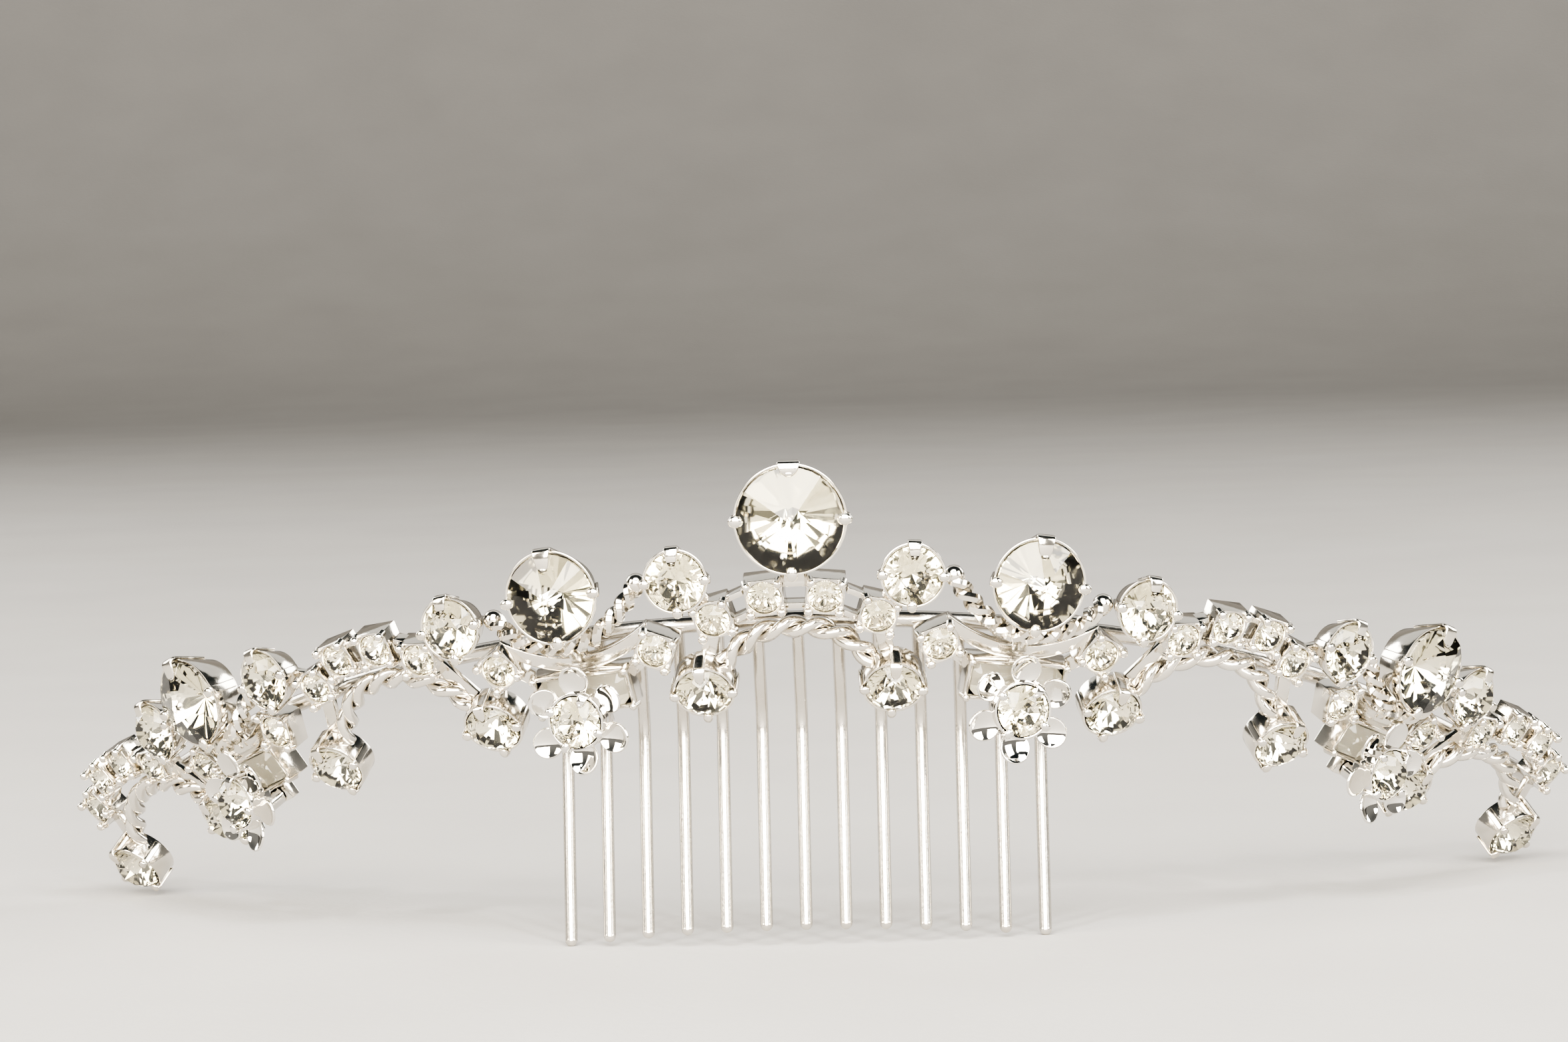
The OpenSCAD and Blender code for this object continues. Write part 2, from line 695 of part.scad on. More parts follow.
module comb() {
  shift = wire_height * sin(flare) + wire_offset * cos(flare);
  level = wire_point(0)[2];
  end_sweep = heading(wire_half_length) - turn_angle;
  translate([0, band_radius, level])
    wire_arc(band_radius + shift, -turn_angle, 2 * turn_angle);
  for (side = [-1, 1]) {
    c = bend_centre(side * wire_half_length);
    translate([c[0], c[1], level])
      wire_arc(end_radius + shift, side > 0 ? turn_angle : -turn_angle - end_sweep, end_sweep);
    translate(wire_point(side * wire_half_length))
      sphere(r = end_ball_radius);
    // A short sleeve covers the joint in the wire.
    translate(wire_point(side * round_length))
      rotate([0, 90, heading(side * round_length)])
        cylinder(r = wire_radius + sleeve_wall, h = sleeve_length, center = true);
  }
  for (i = [0:tooth_count - 1]) {
    x = (i - (tooth_count - 1) / 2) * tooth_pitch;
    r = band_radius + shift;
    root = [x, band_radius - sqrt(r * r - x * x), level];
    bend = root + tooth_run * lean_way(run_lean);
    translate(root)
      rotate([180 + run_lean, 0, 0])
        cylinder(r = tooth_radius, h = tooth_run);
    translate(bend) {
      sphere(r = tooth_radius + bend_bead);
      rotate([180 + tooth_lean, 0, 0]) {
        cylinder(r = tooth_radius, h = tooth_length);
        translate([0, 0, tooth_length])
          sphere(r = tooth_radius);
      }
    }
  }
}

module center_arch() {
  color("silver")
    stand() {
      arch_metal(2);
      crest_seat();
      lifted(0, crest_height, 0, crest_stone_d, crest_lift)
        round_cup(crest_stone_d, 90, cup_taper);
    }
}

module plain_arch(k) {
  color("silver")
    stand()
      arch_metal(k);
}

module left_end_arch() {
  color("silver")
    stand()
      mirror([1, 0, 0])
        arch_metal(4);
}

module gem_setting(k) {
  color("gainsboro")
    stand()
      gem_metal(k);
}

module flower(k) {
  color("white")
    stand()
      flower_metal(k);
}

module comb_with_wire() {
  color("slategray")
    stand()
      comb();
}

module crest_stone() {
  color("lightcyan")
    stand()
      lifted(0, crest_height, 0, crest_stone_d, crest_lift)
        round_stone(crest_stone_d, 14, 0.12);
}

module gem_stone(k) {
  color("lightcyan")
    stand()
      lifted(gems[k][0], gems[k][1], 0, gem_stone_d, gem_lift)
        round_stone(gem_stone_d, 14, 0.12);
}

module top_stone(side, j) {
  color("paleturquoise")
    stand()
      lifted(side * junctions[j][0], junctions[j][1], 0, top_stone_d, top_lift)
        round_stone(top_stone_d, 8, 0.5);
}

module drop_stone(side, j) {
  color("paleturquoise")
    stand()
      on_drop([side * junctions[j][2], junctions[j][3]])
        round_stone(drop_stone_d, 8, 0.5);
}

module end_drop_stone(side) {
  color("paleturquoise")
    stand()
      on_drop([side * end_drop[0], end_drop[1]])
        round_stone(drop_stone_d, 8, 0.5);
}

module flower_stone(k) {
  color("paleturquoise")
    stand()
      lifted(gems[k][2], gems[k][3], flower_stand, flower_stone_d, flower_lift)
        round_stone(flower_stone_d, 8, 0.5);
}

module long_stone(k) {
  color("beige")
    stand()
      on_face(gems[k][0], box_height(k))
        long_stone_body();
}

module arch_stone_row(k) {
  color("powderblue")
    stand()
      arch_stones(k);
}

module side_stone_pair(k) {
  color("powderblue")
    stand()
      side_stones(k);
}

comb_with_wire();  // comb_and_base_wire
left_end_arch();  // arch_outer_left
plain_arch(1);  // arch_inner_left
center_arch();  // arch_center
plain_arch(3);  // arch_inner_right
plain_arch(4);  // arch_outer_right
gem_setting(0);  // gem_setting_outer_left
gem_setting(1);  // gem_setting_inner_left
gem_setting(2);  // gem_setting_inner_right
gem_setting(3);  // gem_setting_outer_right
flower(0);  // flower_outer_left
flower(1);  // flower_inner_left
flower(2);  // flower_inner_right
flower(3);  // flower_outer_right
crest_stone();
gem_stone(0);  // gem_stone_outer_left
gem_stone(1);  // gem_stone_inner_left
gem_stone(2);  // gem_stone_inner_right
gem_stone(3);  // gem_stone_outer_right
top_stone(-1, 0);  // top_stone_left_1
top_stone(-1, 1);  // top_stone_left_2
top_stone(-1, 2);  // top_stone_left_3
top_stone(-1, 3);  // top_stone_left_4
top_stone(1, 0);  // top_stone_right_1
top_stone(1, 1);  // top_stone_right_2
top_stone(1, 2);  // top_stone_right_3
top_stone(1, 3);  // top_stone_right_4
drop_stone(-1, 0);  // drop_stone_left_1
drop_stone(-1, 1);  // drop_stone_left_2
drop_stone(-1, 2);  // drop_stone_left_3
drop_stone(-1, 3);  // drop_stone_left_4
end_drop_stone(-1);  // drop_stone_left_5
drop_stone(1, 0);  // drop_stone_right_1
drop_stone(1, 1);  // drop_stone_right_2
drop_stone(1, 2);  // drop_stone_right_3
drop_stone(1, 3);  // drop_stone_right_4
end_drop_stone(1);  // drop_stone_right_5
flower_stone(0);  // flower_stone_outer_left
flower_stone(1);  // flower_stone_inner_left
flower_stone(2);  // flower_stone_inner_right
flower_stone(3);  // flower_stone_outer_right
long_stone(0);  // long_stone_outer_left
long_stone(1);  // long_stone_inner_left
long_stone(2);  // long_stone_inner_right
long_stone(3);  // long_stone_outer_right
arch_stone_row(0);  // arch_stones_outer_left
arch_stone_row(1);  // arch_stones_inner_left
arch_stone_row(2);  // arch_stones_center
arch_stone_row(3);  // arch_stones_inner_right
arch_stone_row(4);  // arch_stones_outer_right
side_stone_pair(0);  // side_stones_outer_left
side_stone_pair(1);  // side_stones_inner_left
side_stone_pair(2);  // side_stones_inner_right
side_stone_pair(3);  // side_stones_outer_right
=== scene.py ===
import math

import bpy
from mathutils import Matrix, Vector


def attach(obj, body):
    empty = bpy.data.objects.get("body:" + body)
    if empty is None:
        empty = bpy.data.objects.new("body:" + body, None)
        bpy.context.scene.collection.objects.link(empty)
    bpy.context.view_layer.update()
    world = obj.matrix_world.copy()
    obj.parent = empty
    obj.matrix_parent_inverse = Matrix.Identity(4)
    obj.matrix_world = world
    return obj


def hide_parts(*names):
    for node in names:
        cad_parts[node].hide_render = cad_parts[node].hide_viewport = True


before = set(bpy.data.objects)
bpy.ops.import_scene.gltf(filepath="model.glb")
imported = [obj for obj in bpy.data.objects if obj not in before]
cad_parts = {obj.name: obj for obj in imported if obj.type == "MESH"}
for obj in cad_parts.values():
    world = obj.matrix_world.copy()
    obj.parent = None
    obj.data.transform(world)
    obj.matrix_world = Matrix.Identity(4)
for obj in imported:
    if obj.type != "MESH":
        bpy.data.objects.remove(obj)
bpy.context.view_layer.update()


# Base wire and comb. A round brass wire, silver-plated, is bent to the shape
# of the head behind the ornaments and ends in two balls. Thirteen round
# teeth are soldered to its middle; each is bent once behind the ornaments.
# Here and below, lengths are in millimetres and angles in degrees. A place on
# the band is given as s along it from the middle, up it, and out of it.
BAND_RADIUS = 61.0
ROUND_LENGTH = 55.0  # each side of the middle; the ends are straighter
END_RADIUS = 150.0
FLARE = 43.5  # how far the ornaments lean out
REST_TILT = 24.6413
REST_RAISE = 27.0764
REST_BACK = -17.8547
WIRE_RADIUS = 0.7
WIRE_HALF = 83.4
WIRE_UP = -1.0
WIRE_OUT = -0.9
WIRE_STEPS = 150
BALL_RADIUS = 1.0
TOOTH_COUNT = 13
TOOTH_PITCH = 3.2
TOOTH_RADIUS = 0.5
TOOTH_RUN = 9.0  # behind the ornaments, before the bend
TOOTH_LENGTH = 16.8  # after the bend
TOOTH_BEND = 1.5  # taken up by the bend on each side of it
BEND_STEPS = 6
RUN_LEAN = 50.0
TOOTH_LEAN = 14.0


def side_of(s):
    return -1.0 if s < 0 else 1.0


def heading(s):
    """How far the band has turned at s, in degrees"""
    turned = min(abs(s), ROUND_LENGTH) / BAND_RADIUS
    turned += max(abs(s) - ROUND_LENGTH, 0.0) / END_RADIUS
    return side_of(s) * math.degrees(turned)


def face_point(s, up, out):
    """A point of the flared band: along it, up it and out of it"""
    flare = math.radians(FLARE)
    turn = math.radians(heading(s))
    centre_x, centre_y, radius = 0.0, BAND_RADIUS, BAND_RADIUS
    if abs(s) > ROUND_LENGTH:
        corner = ROUND_LENGTH / BAND_RADIUS
        more = END_RADIUS - BAND_RADIUS
        centre_x = -side_of(s) * more * math.sin(corner)
        centre_y = BAND_RADIUS + more * math.cos(corner)
        radius = END_RADIUS
    radius += up * math.sin(flare) + out * math.cos(flare)
    return Vector((
        centre_x + radius * math.sin(turn),
        centre_y - radius * math.cos(turn),
        up * math.cos(flare) - out * math.sin(flare),
    ))


# From millimetres on the band to metres on the table, at the rest tilt.
TO_TABLE = (
    Matrix.Scale(0.001, 4)
    @ Matrix.Translation((0.0, REST_BACK, REST_RAISE))
    @ Matrix.Rotation(math.radians(-REST_TILT), 4, "X")
)


def linear(code):
    """An sRGB hex colour as Blender's linear colour"""
    parts = [int(code[i:i + 2], 16) / 255 for i in (1, 3, 5)]
    parts = [c / 12.92 if c <= 0.04045 else ((c + 0.055) / 1.055) ** 2.4 for c in parts]
    return (*parts, 1.0)


def add_node(tree, kind, settings=(), links=()):
    """Adds a shader node, sets its sockets or properties and links it"""
    node = tree.nodes.new(kind)
    for key, value in dict(settings).items():
        if isinstance(key, int) or key in node.inputs:
            node.inputs[key].default_value = value
        else:
            setattr(node, key, value)
    for socket, source in dict(links).items():
        tree.links.new(source, node.inputs[socket])
    return node


def new_material(name):
    material = bpy.data.materials.new(name)
    material.use_nodes = True
    tree = material.node_tree
    return material, tree, tree.nodes["Principled BSDF"]


def drifting_tint(tree, shader, light, deep, noise):
    """Base colour that drifts between two tints with a noise"""
    tint = add_node(
        tree, "ShaderNodeMix",
        {"data_type": "RGBA", 6: linear(light), 7: linear(deep)},
        {"Factor": noise.outputs["Fac"]},
    )
    tree.links.new(tint.outputs[2], shader.inputs["Base Color"])


def polished_metal(name, light, deep, rough_low, rough_high, dent):
    """Plated metal: its tint drifts a little, and hand polishing leaves it
    slightly uneven, which breaks its reflections up"""
    material, tree, shader = new_material(name)
    place = add_node(tree, "ShaderNodeTexCoord").outputs["Object"]
    # Tint drifts over about 4 mm, polishing marks are about 0.35 mm apart.
    drift = add_node(
        tree, "ShaderNodeTexNoise", {"Scale": 250.0, "Detail": 2.0}, {"Vector": place},
    )
    marks = add_node(
        tree, "ShaderNodeTexNoise", {"Scale": 2800.0, "Detail": 3.0}, {"Vector": place},
    )
    rough = add_node(
        tree, "ShaderNodeMapRange",
        {"To Min": rough_low, "To Max": rough_high}, {"Value": marks.outputs["Fac"]},
    )
    bump = add_node(
        tree, "ShaderNodeBump",
        {"Strength": 0.35, "Distance": dent}, {"Height": marks.outputs["Fac"]},
    )
    shader.inputs["Metallic"].default_value = 1.0
    drifting_tint(tree, shader, light, deep, drift)
    tree.links.new(rough.outputs["Result"], shader.inputs["Roughness"])
    tree.links.new(bump.outputs["Normal"], shader.inputs["Normal"])
    return material


# Silver plate that was not polished after plating: softer, satin reflections.
silver_wire = polished_metal("plated_comb_wire", "#DEDBD6", "#C9C3B8", 0.16, 0.32, 0.00003)


def clear_pick():
    """Nothing is selected and no object is in edit mode"""
    if bpy.context.object and bpy.context.object.mode != "OBJECT":
        bpy.ops.object.mode_set(mode="OBJECT")
    bpy.ops.object.select_all(action="DESELECT")


def pick(*objects):
    clear_pick()
    for piece in objects:
        piece.select_set(True)
    bpy.context.view_layer.objects.active = objects[0]


def weld(piece):
    """Joins points that lie on each other, so that no seam stays open"""
    pick(piece)
    bpy.ops.object.mode_set(mode="EDIT")
    bpy.ops.mesh.select_all(action="SELECT")
    bpy.ops.mesh.remove_doubles(threshold=0.0005)
    bpy.ops.object.mode_set(mode="OBJECT")


def round_wire(points, radius, sides=8):
    """A round wire bent along a row of points, closed at both ends"""
    clear_pick()
    bpy.ops.curve.primitive_nurbs_path_add()
    piece = bpy.context.object
    path = piece.data
    path.splines.clear()
    line = path.splines.new("POLY")
    line.points.add(len(points) - 1)
    for i, spot in enumerate(points):
        line.points[i].co = (*spot, 1.0)
    path.dimensions = "3D"
    path.bevel_depth = radius
    path.bevel_resolution = (sides - 4) // 2
    path.use_fill_caps = True
    pick(piece)
    bpy.ops.object.convert(target="MESH")
    weld(piece)
    bpy.ops.object.shade_smooth_by_angle(angle=math.radians(50))
    return piece


def ball(radius, place, segments=16, rings=12, stretch=(1, 1, 1)):
    clear_pick()
    bpy.ops.mesh.primitive_uv_sphere_add(
        segments=segments, ring_count=rings, radius=radius, location=place, scale=stretch,
    )
    bpy.ops.object.transform_apply(location=True, rotation=True, scale=True)
    bpy.ops.object.shade_smooth()
    return bpy.context.object


def fuse(pieces, name):
    """Joins pieces into one object"""
    pick(*pieces)
    if len(pieces) > 1:
        bpy.ops.object.join()
    piece = bpy.context.object
    piece.name = name
    piece.data.name = name
    return piece


def dress(piece, *materials):
    piece.data.materials.clear()
    for material in materials:
        piece.data.materials.append(material)


def stand_on_table(piece, slot, *nodes):
    """Sets a finished piece down in the rest pose and hides the parts that it stands for"""
    piece.data.transform(TO_TABLE)
    piece.data.update()
    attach(piece, "root")
    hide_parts(*nodes)


def leaning(lean):
    """The way down and back for a run of the teeth"""
    return Vector((0, math.sin(math.radians(lean)), -math.cos(math.radians(lean))))


wire_line = [
    face_point(WIRE_HALF * (2 * i / WIRE_STEPS - 1), WIRE_UP, WIRE_OUT)
    for i in range(WIRE_STEPS + 1)
]
comb_metal = [round_wire(wire_line, WIRE_RADIUS, 12)]
for end in (wire_line[0], wire_line[-1]):
    comb_metal.append(ball(BALL_RADIUS, end, 24, 16))
wire_circle = BAND_RADIUS - face_point(0, WIRE_UP, WIRE_OUT).y
wire_level = wire_line[0].z
run_way, tooth_way = leaning(RUN_LEAN), leaning(TOOTH_LEAN)
for i in range(TOOTH_COUNT):
    x = (i - (TOOTH_COUNT - 1) / 2) * TOOTH_PITCH
    root = Vector((x, BAND_RADIUS - math.sqrt(wire_circle ** 2 - x ** 2), wire_level))
    bend = root + run_way * TOOTH_RUN
    line = [root + run_way * length for length in (0, 2, 5)]
    for step in range(BEND_STEPS + 1):
        t = step / BEND_STEPS
        near = bend - run_way * TOOTH_BEND * (1 - t)
        far = bend + tooth_way * TOOTH_BEND * t
        line.append(near.lerp(far, t))
    line += [bend + tooth_way * length for length in (5, 9, 13, TOOTH_LENGTH)]
    comb_metal.append(round_wire(line, TOOTH_RADIUS, 10))
    comb_metal.append(ball(TOOTH_RADIUS, line[-1]))
comb = fuse(comb_metal, "comb_wire")
dress(comb, silver_wire)
stand_on_table(comb, "silver_wire", "comb_and_base_wire")


# Square cups of the arches. Small cast cups, each with a round seat for a
# foiled stone and a bead prong on every corner, soldered into chains of four
# with two thin bars between neighbours.
SQUARE_SIDE = 3.1
SQUARE_DEPTH = 2.1
SQUARE_STONE = 2.6
CLEARANCE = 0.08  # round every stone
CUP_FLOOR = 0.35
BEAD_RADIUS = 0.32
PRONG_SINK = 0.3  # the prong's foot, below the cup's rim
PRONG_RISE = 0.3  # the prong's head, above it
PRONG_LEAN = 0.12  # how far the head leans in over the stone
CORNERS = [(-1, -1), (-1, 1), (1, -1), (1, 1)]
BAR_WIDTH = 0.5
BAR_SPREAD = 1.9
BAR_THICK = 1.2
LINK_WIDTH = 1.2
LINK_THICK = 0.6
LINK_OUT = 0.4  # how far bars and links lie in front of the cups' backs
ARCHES = [(-74, 6.4), (-36.8, 5.4), (0, 6.4), (36.8, 5.4), (74, 6.4)]  # middle, half length
ARCH_NAMES = ["outer_left", "inner_left", "center", "inner_right", "outer_right"]
ARCH_TOP = 2.2  # how far up the two middle cups stand
ARCH_END = 0.5
INNER_CUP = 0.36  # the middle cups' share of the half length

# Bright silver plate over brass: near-white, slightly warm, mirror-like.
silver_plate = polished_metal("bright_silver_plate", "#EDEAE4", "#D9D2C4", 0.06, 0.2, 0.00002)


def on_face(s, up, out=0.0, turn=0.0, nod=0.0):
    """Carries a piece drawn at the origin, facing +Z, to its seat on the band"""
    return (
        Matrix.Translation(face_point(s, up, out))
        @ Matrix.Rotation(math.radians(heading(s)), 4, "Z")
        @ Matrix.Rotation(math.radians(90 + FLARE), 4, "X")
        @ Matrix.Rotation(math.radians(nod), 4, "X")
        @ Matrix.Rotation(math.radians(turn), 4, "Z")
    )


def apply_all(piece):
    """Applies the piece's place and its modifiers to its mesh"""
    pick(piece)
    bpy.ops.object.transform_apply(location=True, rotation=True, scale=True)
    for modifier in list(piece.modifiers):
        bpy.ops.object.modifier_apply(modifier=modifier.name)


def soften(piece, width, segments=2, limit=35):
    """Rounds the edges sharper than the limit and keeps the faces crisp"""
    bevel = piece.modifiers.new("edges", "BEVEL")
    bevel.width = width
    bevel.segments = segments
    bevel.limit_method = "ANGLE"
    bevel.angle_limit = math.radians(limit)
    bevel.harden_normals = False
    apply_all(piece)
    weld(piece)
    bpy.ops.object.shade_smooth_by_angle(angle=math.radians(40))
    return piece


def block(size, place):
    clear_pick()
    bpy.ops.mesh.primitive_cube_add(size=1, location=place, scale=size)
    bpy.ops.object.transform_apply(location=True, rotation=True, scale=True)
    return bpy.context.object


def drop_master(*masters):
    for master in masters:
        bpy.data.objects.remove(master)


def cut_away(piece, tool):
    cut = piece.modifiers.new("cut", "BOOLEAN")
    cut.operation = "DIFFERENCE"
    cut.solver = "EXACT"
    cut.object = tool
    apply_all(piece)
    drop_master(tool)


def square_cup():
    cup = block((SQUARE_SIDE, SQUARE_SIDE, SQUARE_DEPTH), (0, 0, SQUARE_DEPTH / 2))
    clear_pick()
    bpy.ops.mesh.primitive_cylinder_add(
        vertices=32, radius=SQUARE_STONE / 2 + CLEARANCE,
        depth=SQUARE_DEPTH, location=(0, 0, CUP_FLOOR + SQUARE_DEPTH / 2),
    )
    cut_away(cup, bpy.context.object)
    parts = [soften(cup, width=0.09)]
    corner = SQUARE_SIDE / 2 - BEAD_RADIUS * 0.6
    for x, y in CORNERS:
        foot = Vector((x * corner, y * corner, SQUARE_DEPTH - PRONG_SINK))
        near = corner - PRONG_LEAN
        head = Vector((x * near, y * near, SQUARE_DEPTH + PRONG_RISE))
        parts.append(round_wire([foot, foot.lerp(head, 0.6), head], BEAD_RADIUS * 1.05))
        parts.append(ball(BEAD_RADIUS * 1.18, head, 14, 10))
    return fuse(parts, "square_cup")


square_master = square_cup()


def cup_places(k):
    """The four cups of an arch, from left to right"""
    middle, half = ARCHES[k]
    return [
        (middle - half, ARCH_END), (middle - half * INNER_CUP, ARCH_TOP),
        (middle + half * INNER_CUP, ARCH_TOP), (middle + half, ARCH_END),
    ]


def cup_turn(k, s):
    """Each cup leans with the bow of its arch"""
    return (ARCHES[k][0] - s) * 2


def link(one, two, width, thick, spread=(0,)):
    """Flat bars from one seat to the next. An end is (s, up, entry), and the
    bar stops short of the seat's middle by its entry"""
    start = face_point(one[0], one[1], 0)
    reach = (face_point(two[0], two[1], 0) - start).length
    rise = two[1] - one[1]
    run = math.sqrt(max(reach ** 2 - rise ** 2, 0)) * side_of(two[0] - one[0])
    share = (one[2] + reach - two[2]) / (2 * reach)
    place = on_face(
        one[0] + (two[0] - one[0]) * share, one[1] + rise * share,
        LINK_OUT, math.degrees(math.atan2(rise, run)),
    )
    size = (reach - one[2] - two[2], width, thick)
    made = []
    for y in spread:
        bar = soften(block(size, (0, y, thick / 2)), width=0.08)
        bar.data.transform(place)
        made.append(bar)
    return made


# Round cups. A cup is spun from thin plate with a rolled rim. Four claws are
# soldered to its side and pressed over the stone's edge: a wide tab above
# and three that end in oval beads.
TOP_STONE = 4.7
DROP_STONE = 4.4
FLOWER_STONE = 4.1
GEM_STONE = 7.1
CREST_STONE = 8.4
CUP_WALL = 0.22
CUP_TAPER = 0.72  # the foot's share of the rim, on the lifted cups
DROP_NOD = 15.0
TOP_LIFT = 14.0
GEM_LIFT = 14.0
CREST_LIFT = 12.0
FLOWER_LIFT = 16.0
CLAW_THICK = 0.24
CLAW_OUT = 0.1  # the claws' middle, outside the cup's wall
TAB_TIP = 0.2


def cup_depth(d):
    return 0.38 * d + 0.6


def cup_bore(d):
    return d / 2 + CLEARANCE


def cup_radius(d):
    return cup_bore(d) + CUP_WALL


def lifted(d, s, up, lift, out=0.0):
    """The seat of a cup that is turned up about the middle of its stone"""
    return (
        on_face(s, up, out)
        @ Matrix.Translation((0, 0, cup_depth(d)))
        @ Matrix.Rotation(math.radians(-lift), 4, "X")
        @ Matrix.Translation((0, 0, -cup_depth(d)))
    )


def copy_at(master, places):
    """Copies of a master at these places, each with its own mesh"""
    made = []
    for place in places:
        twin = master.copy()
        twin.data = master.data.copy()
        twin.data.transform(place)
        bpy.context.collection.objects.link(twin)
        made.append(twin)
    return made


def bent_bar(width, thick, length, cuts, bend):
    """A flat bar, cut across and then bent: bend takes a place along the bar
    (0 to 1) and gives its middle, the ways of its face and breadth, and how
    much of its breadth is left there"""
    bar = block((length, width, thick), (length / 2, 0, 0))
    bpy.ops.object.mode_set(mode="EDIT")
    for i in range(1, cuts):
        bpy.ops.mesh.select_all(action="SELECT")
        bpy.ops.mesh.bisect(plane_co=(length * i / cuts, 0, 0), plane_no=(1, 0, 0))
    bpy.ops.object.mode_set(mode="OBJECT")
    for vertex in bar.data.vertices:
        middle, face, across, share = bend(vertex.co.x / length)
        vertex.co = middle + across * vertex.co.y * share + face * vertex.co.z
    return bar


def claw_strip(line, shares, width):
    """A flat strip pressed along a profile; shares narrow it along the way"""
    line = [Vector((x, 0, z)) for x, z in line]
    last = len(line) - 1

    def bend(t):
        k = min(int(t * last), last - 1)
        f = t * last - k
        ahead = (line[k + 1] - line[k]).normalized()
        before = (line[k] - line[max(k - 1, 0)]).normalized() if k else ahead
        after = (line[min(k + 2, last)] - line[k + 1]).normalized() if k < last - 1 else ahead
        way = (before + ahead).lerp(ahead + after, f).normalized()
        face = Vector((-way.z, 0, way.x))
        share = shares[k] * (1 - f) + shares[k + 1] * f
        return line[k].lerp(line[k + 1], f), face, Vector((0, 1, 0)), share

    strip = bent_bar(width, CLAW_THICK, 4, last * 2, bend)
    return soften(strip, width=0.1, segments=3, limit=50)


def claw_foot(d, taper):
    """Where a claw starts, low on the cup's wall"""
    r = cup_radius(d)
    return (r - r * (1 - taper) * 0.9 + CLAW_OUT, 0.1 * cup_depth(d))


def tab_claw(d, width, tip_reach, taper):
    """The wide upper claw: up the wall, over the rim, narrowing on the crown"""
    r, h = cup_radius(d), cup_depth(d)
    line = [
        claw_foot(d, taper), (r + CLAW_OUT, h - 0.15), (r + 0.11, h + 0.12), (r + 0.02, h + 0.36),
        (r - 0.18, h + 0.5), (r - tip_reach * 0.75, h + 0.58), (r - tip_reach, h + 0.54),
    ]
    strip = claw_strip(line, [0.8, 0.9, 1, 1, 0.95, 0.72, 0.45], width)
    tip_x, tip_z = line[-1]
    stretch = (1.25, width / 2 * 0.5 / TAB_TIP, 0.95)
    tip = ball(TAB_TIP, (tip_x + 0.05, 0, tip_z), 14, 10, stretch)
    return fuse([strip, tip], "tab_claw")


def bead_claw(d, width, taper):
    """A side claw, its end pressed to an oval bead on the stone's edge"""
    r, h = cup_radius(d), cup_depth(d)
    line = [
        claw_foot(d, taper), (r + CLAW_OUT, h - 0.15), (r + 0.12, h + 0.12), (r + 0.02, h + 0.34),
    ]
    strip = claw_strip(line, [0.8, 0.8, 0.8, 0.7], width)
    bead = ball(width * 0.5, (r - 0.2, 0, h + 0.38), 18, 12, (1.15, 0.95, 0.62))
    return fuse([strip, bead], "bead_claw")


def round_cup(d, turn, tab_wide, bead_wide, tip_reach, taper=1.0, sides=48):
    """A cup with its claws; turn is where its wide tab stands"""
    r, h = cup_radius(d), cup_depth(d)
    clear_pick()
    bpy.ops.mesh.primitive_cone_add(
        vertices=sides, radius1=r * taper, radius2=r, depth=h, location=(0, 0, h / 2),
    )
    cup = bpy.context.object
    bpy.ops.object.transform_apply(location=True, rotation=True, scale=True)
    bpy.ops.object.mode_set(mode="EDIT")
    bpy.ops.mesh.select_all(action="DESELECT")
    bpy.ops.object.mode_set(mode="OBJECT")
    for face in cup.data.polygons:
        face.select = face.normal.z > 0.9
    bpy.ops.object.mode_set(mode="EDIT")
    bpy.ops.mesh.inset(thickness=CUP_WALL, depth=0)
    bpy.ops.mesh.extrude_region_move(TRANSFORM_OT_translate={"value": (0, 0, CUP_FLOOR - h)})
    narrow = (r * taper - CUP_WALL) / cup_bore(d)
    bpy.ops.transform.resize(value=(narrow, narrow, 1))
    bpy.ops.object.mode_set(mode="OBJECT")
    soften(cup, width=0.07)
    turns = [Matrix.Rotation(math.radians(turn + 90 * i), 4, "Z") for i in range(4)]
    tab = tab_claw(d, tab_wide, tip_reach, taper)
    bead = bead_claw(d, bead_wide, taper)
    arms = copy_at(tab, turns[:1]) + copy_at(bead, turns[1:])
    drop_master(tab, bead)
    return fuse([cup, *arms], "round_cup")


top_master = round_cup(
    TOP_STONE, 90, tab_wide=1.15, bead_wide=0.85, tip_reach=1.25, taper=CUP_TAPER)
drop_cup_master = round_cup(
    DROP_STONE, 90, tab_wide=1.0, bead_wide=0.8, tip_reach=1.05)
flower_cup_master = round_cup(
    FLOWER_STONE, 60, tab_wide=0.85, bead_wide=0.75, tip_reach=0.85)
gem_cup_master = round_cup(
    GEM_STONE, 90, tab_wide=1.5, bead_wide=0.95, tip_reach=1.55, taper=CUP_TAPER, sides=64)
crest_cup_master = round_cup(
    CREST_STONE, 90, tab_wide=1.8, bead_wide=1.05, tip_reach=0.8, taper=CUP_TAPER, sides=72)


# Ropes. Two plain brass wires are twisted together, bent along a row of
# points and soldered below the cups: coarse under the arches, fine under
# the large stones.
COARSE_STRAND = 0.48
COARSE_LOBE = 2.2  # half a turn of the twist
FINE_STRAND = 0.42
FINE_LOBE = 1.35
ROPE_TOP = -0.75
ROPE_STEPS = 48


def face_out(s):
    """The way that the ornaments face at s"""
    flare = math.radians(FLARE)
    turn = math.radians(heading(s))
    return Vector((
        math.cos(flare) * math.sin(turn),
        -math.cos(flare) * math.cos(turn),
        -math.sin(flare),
    ))


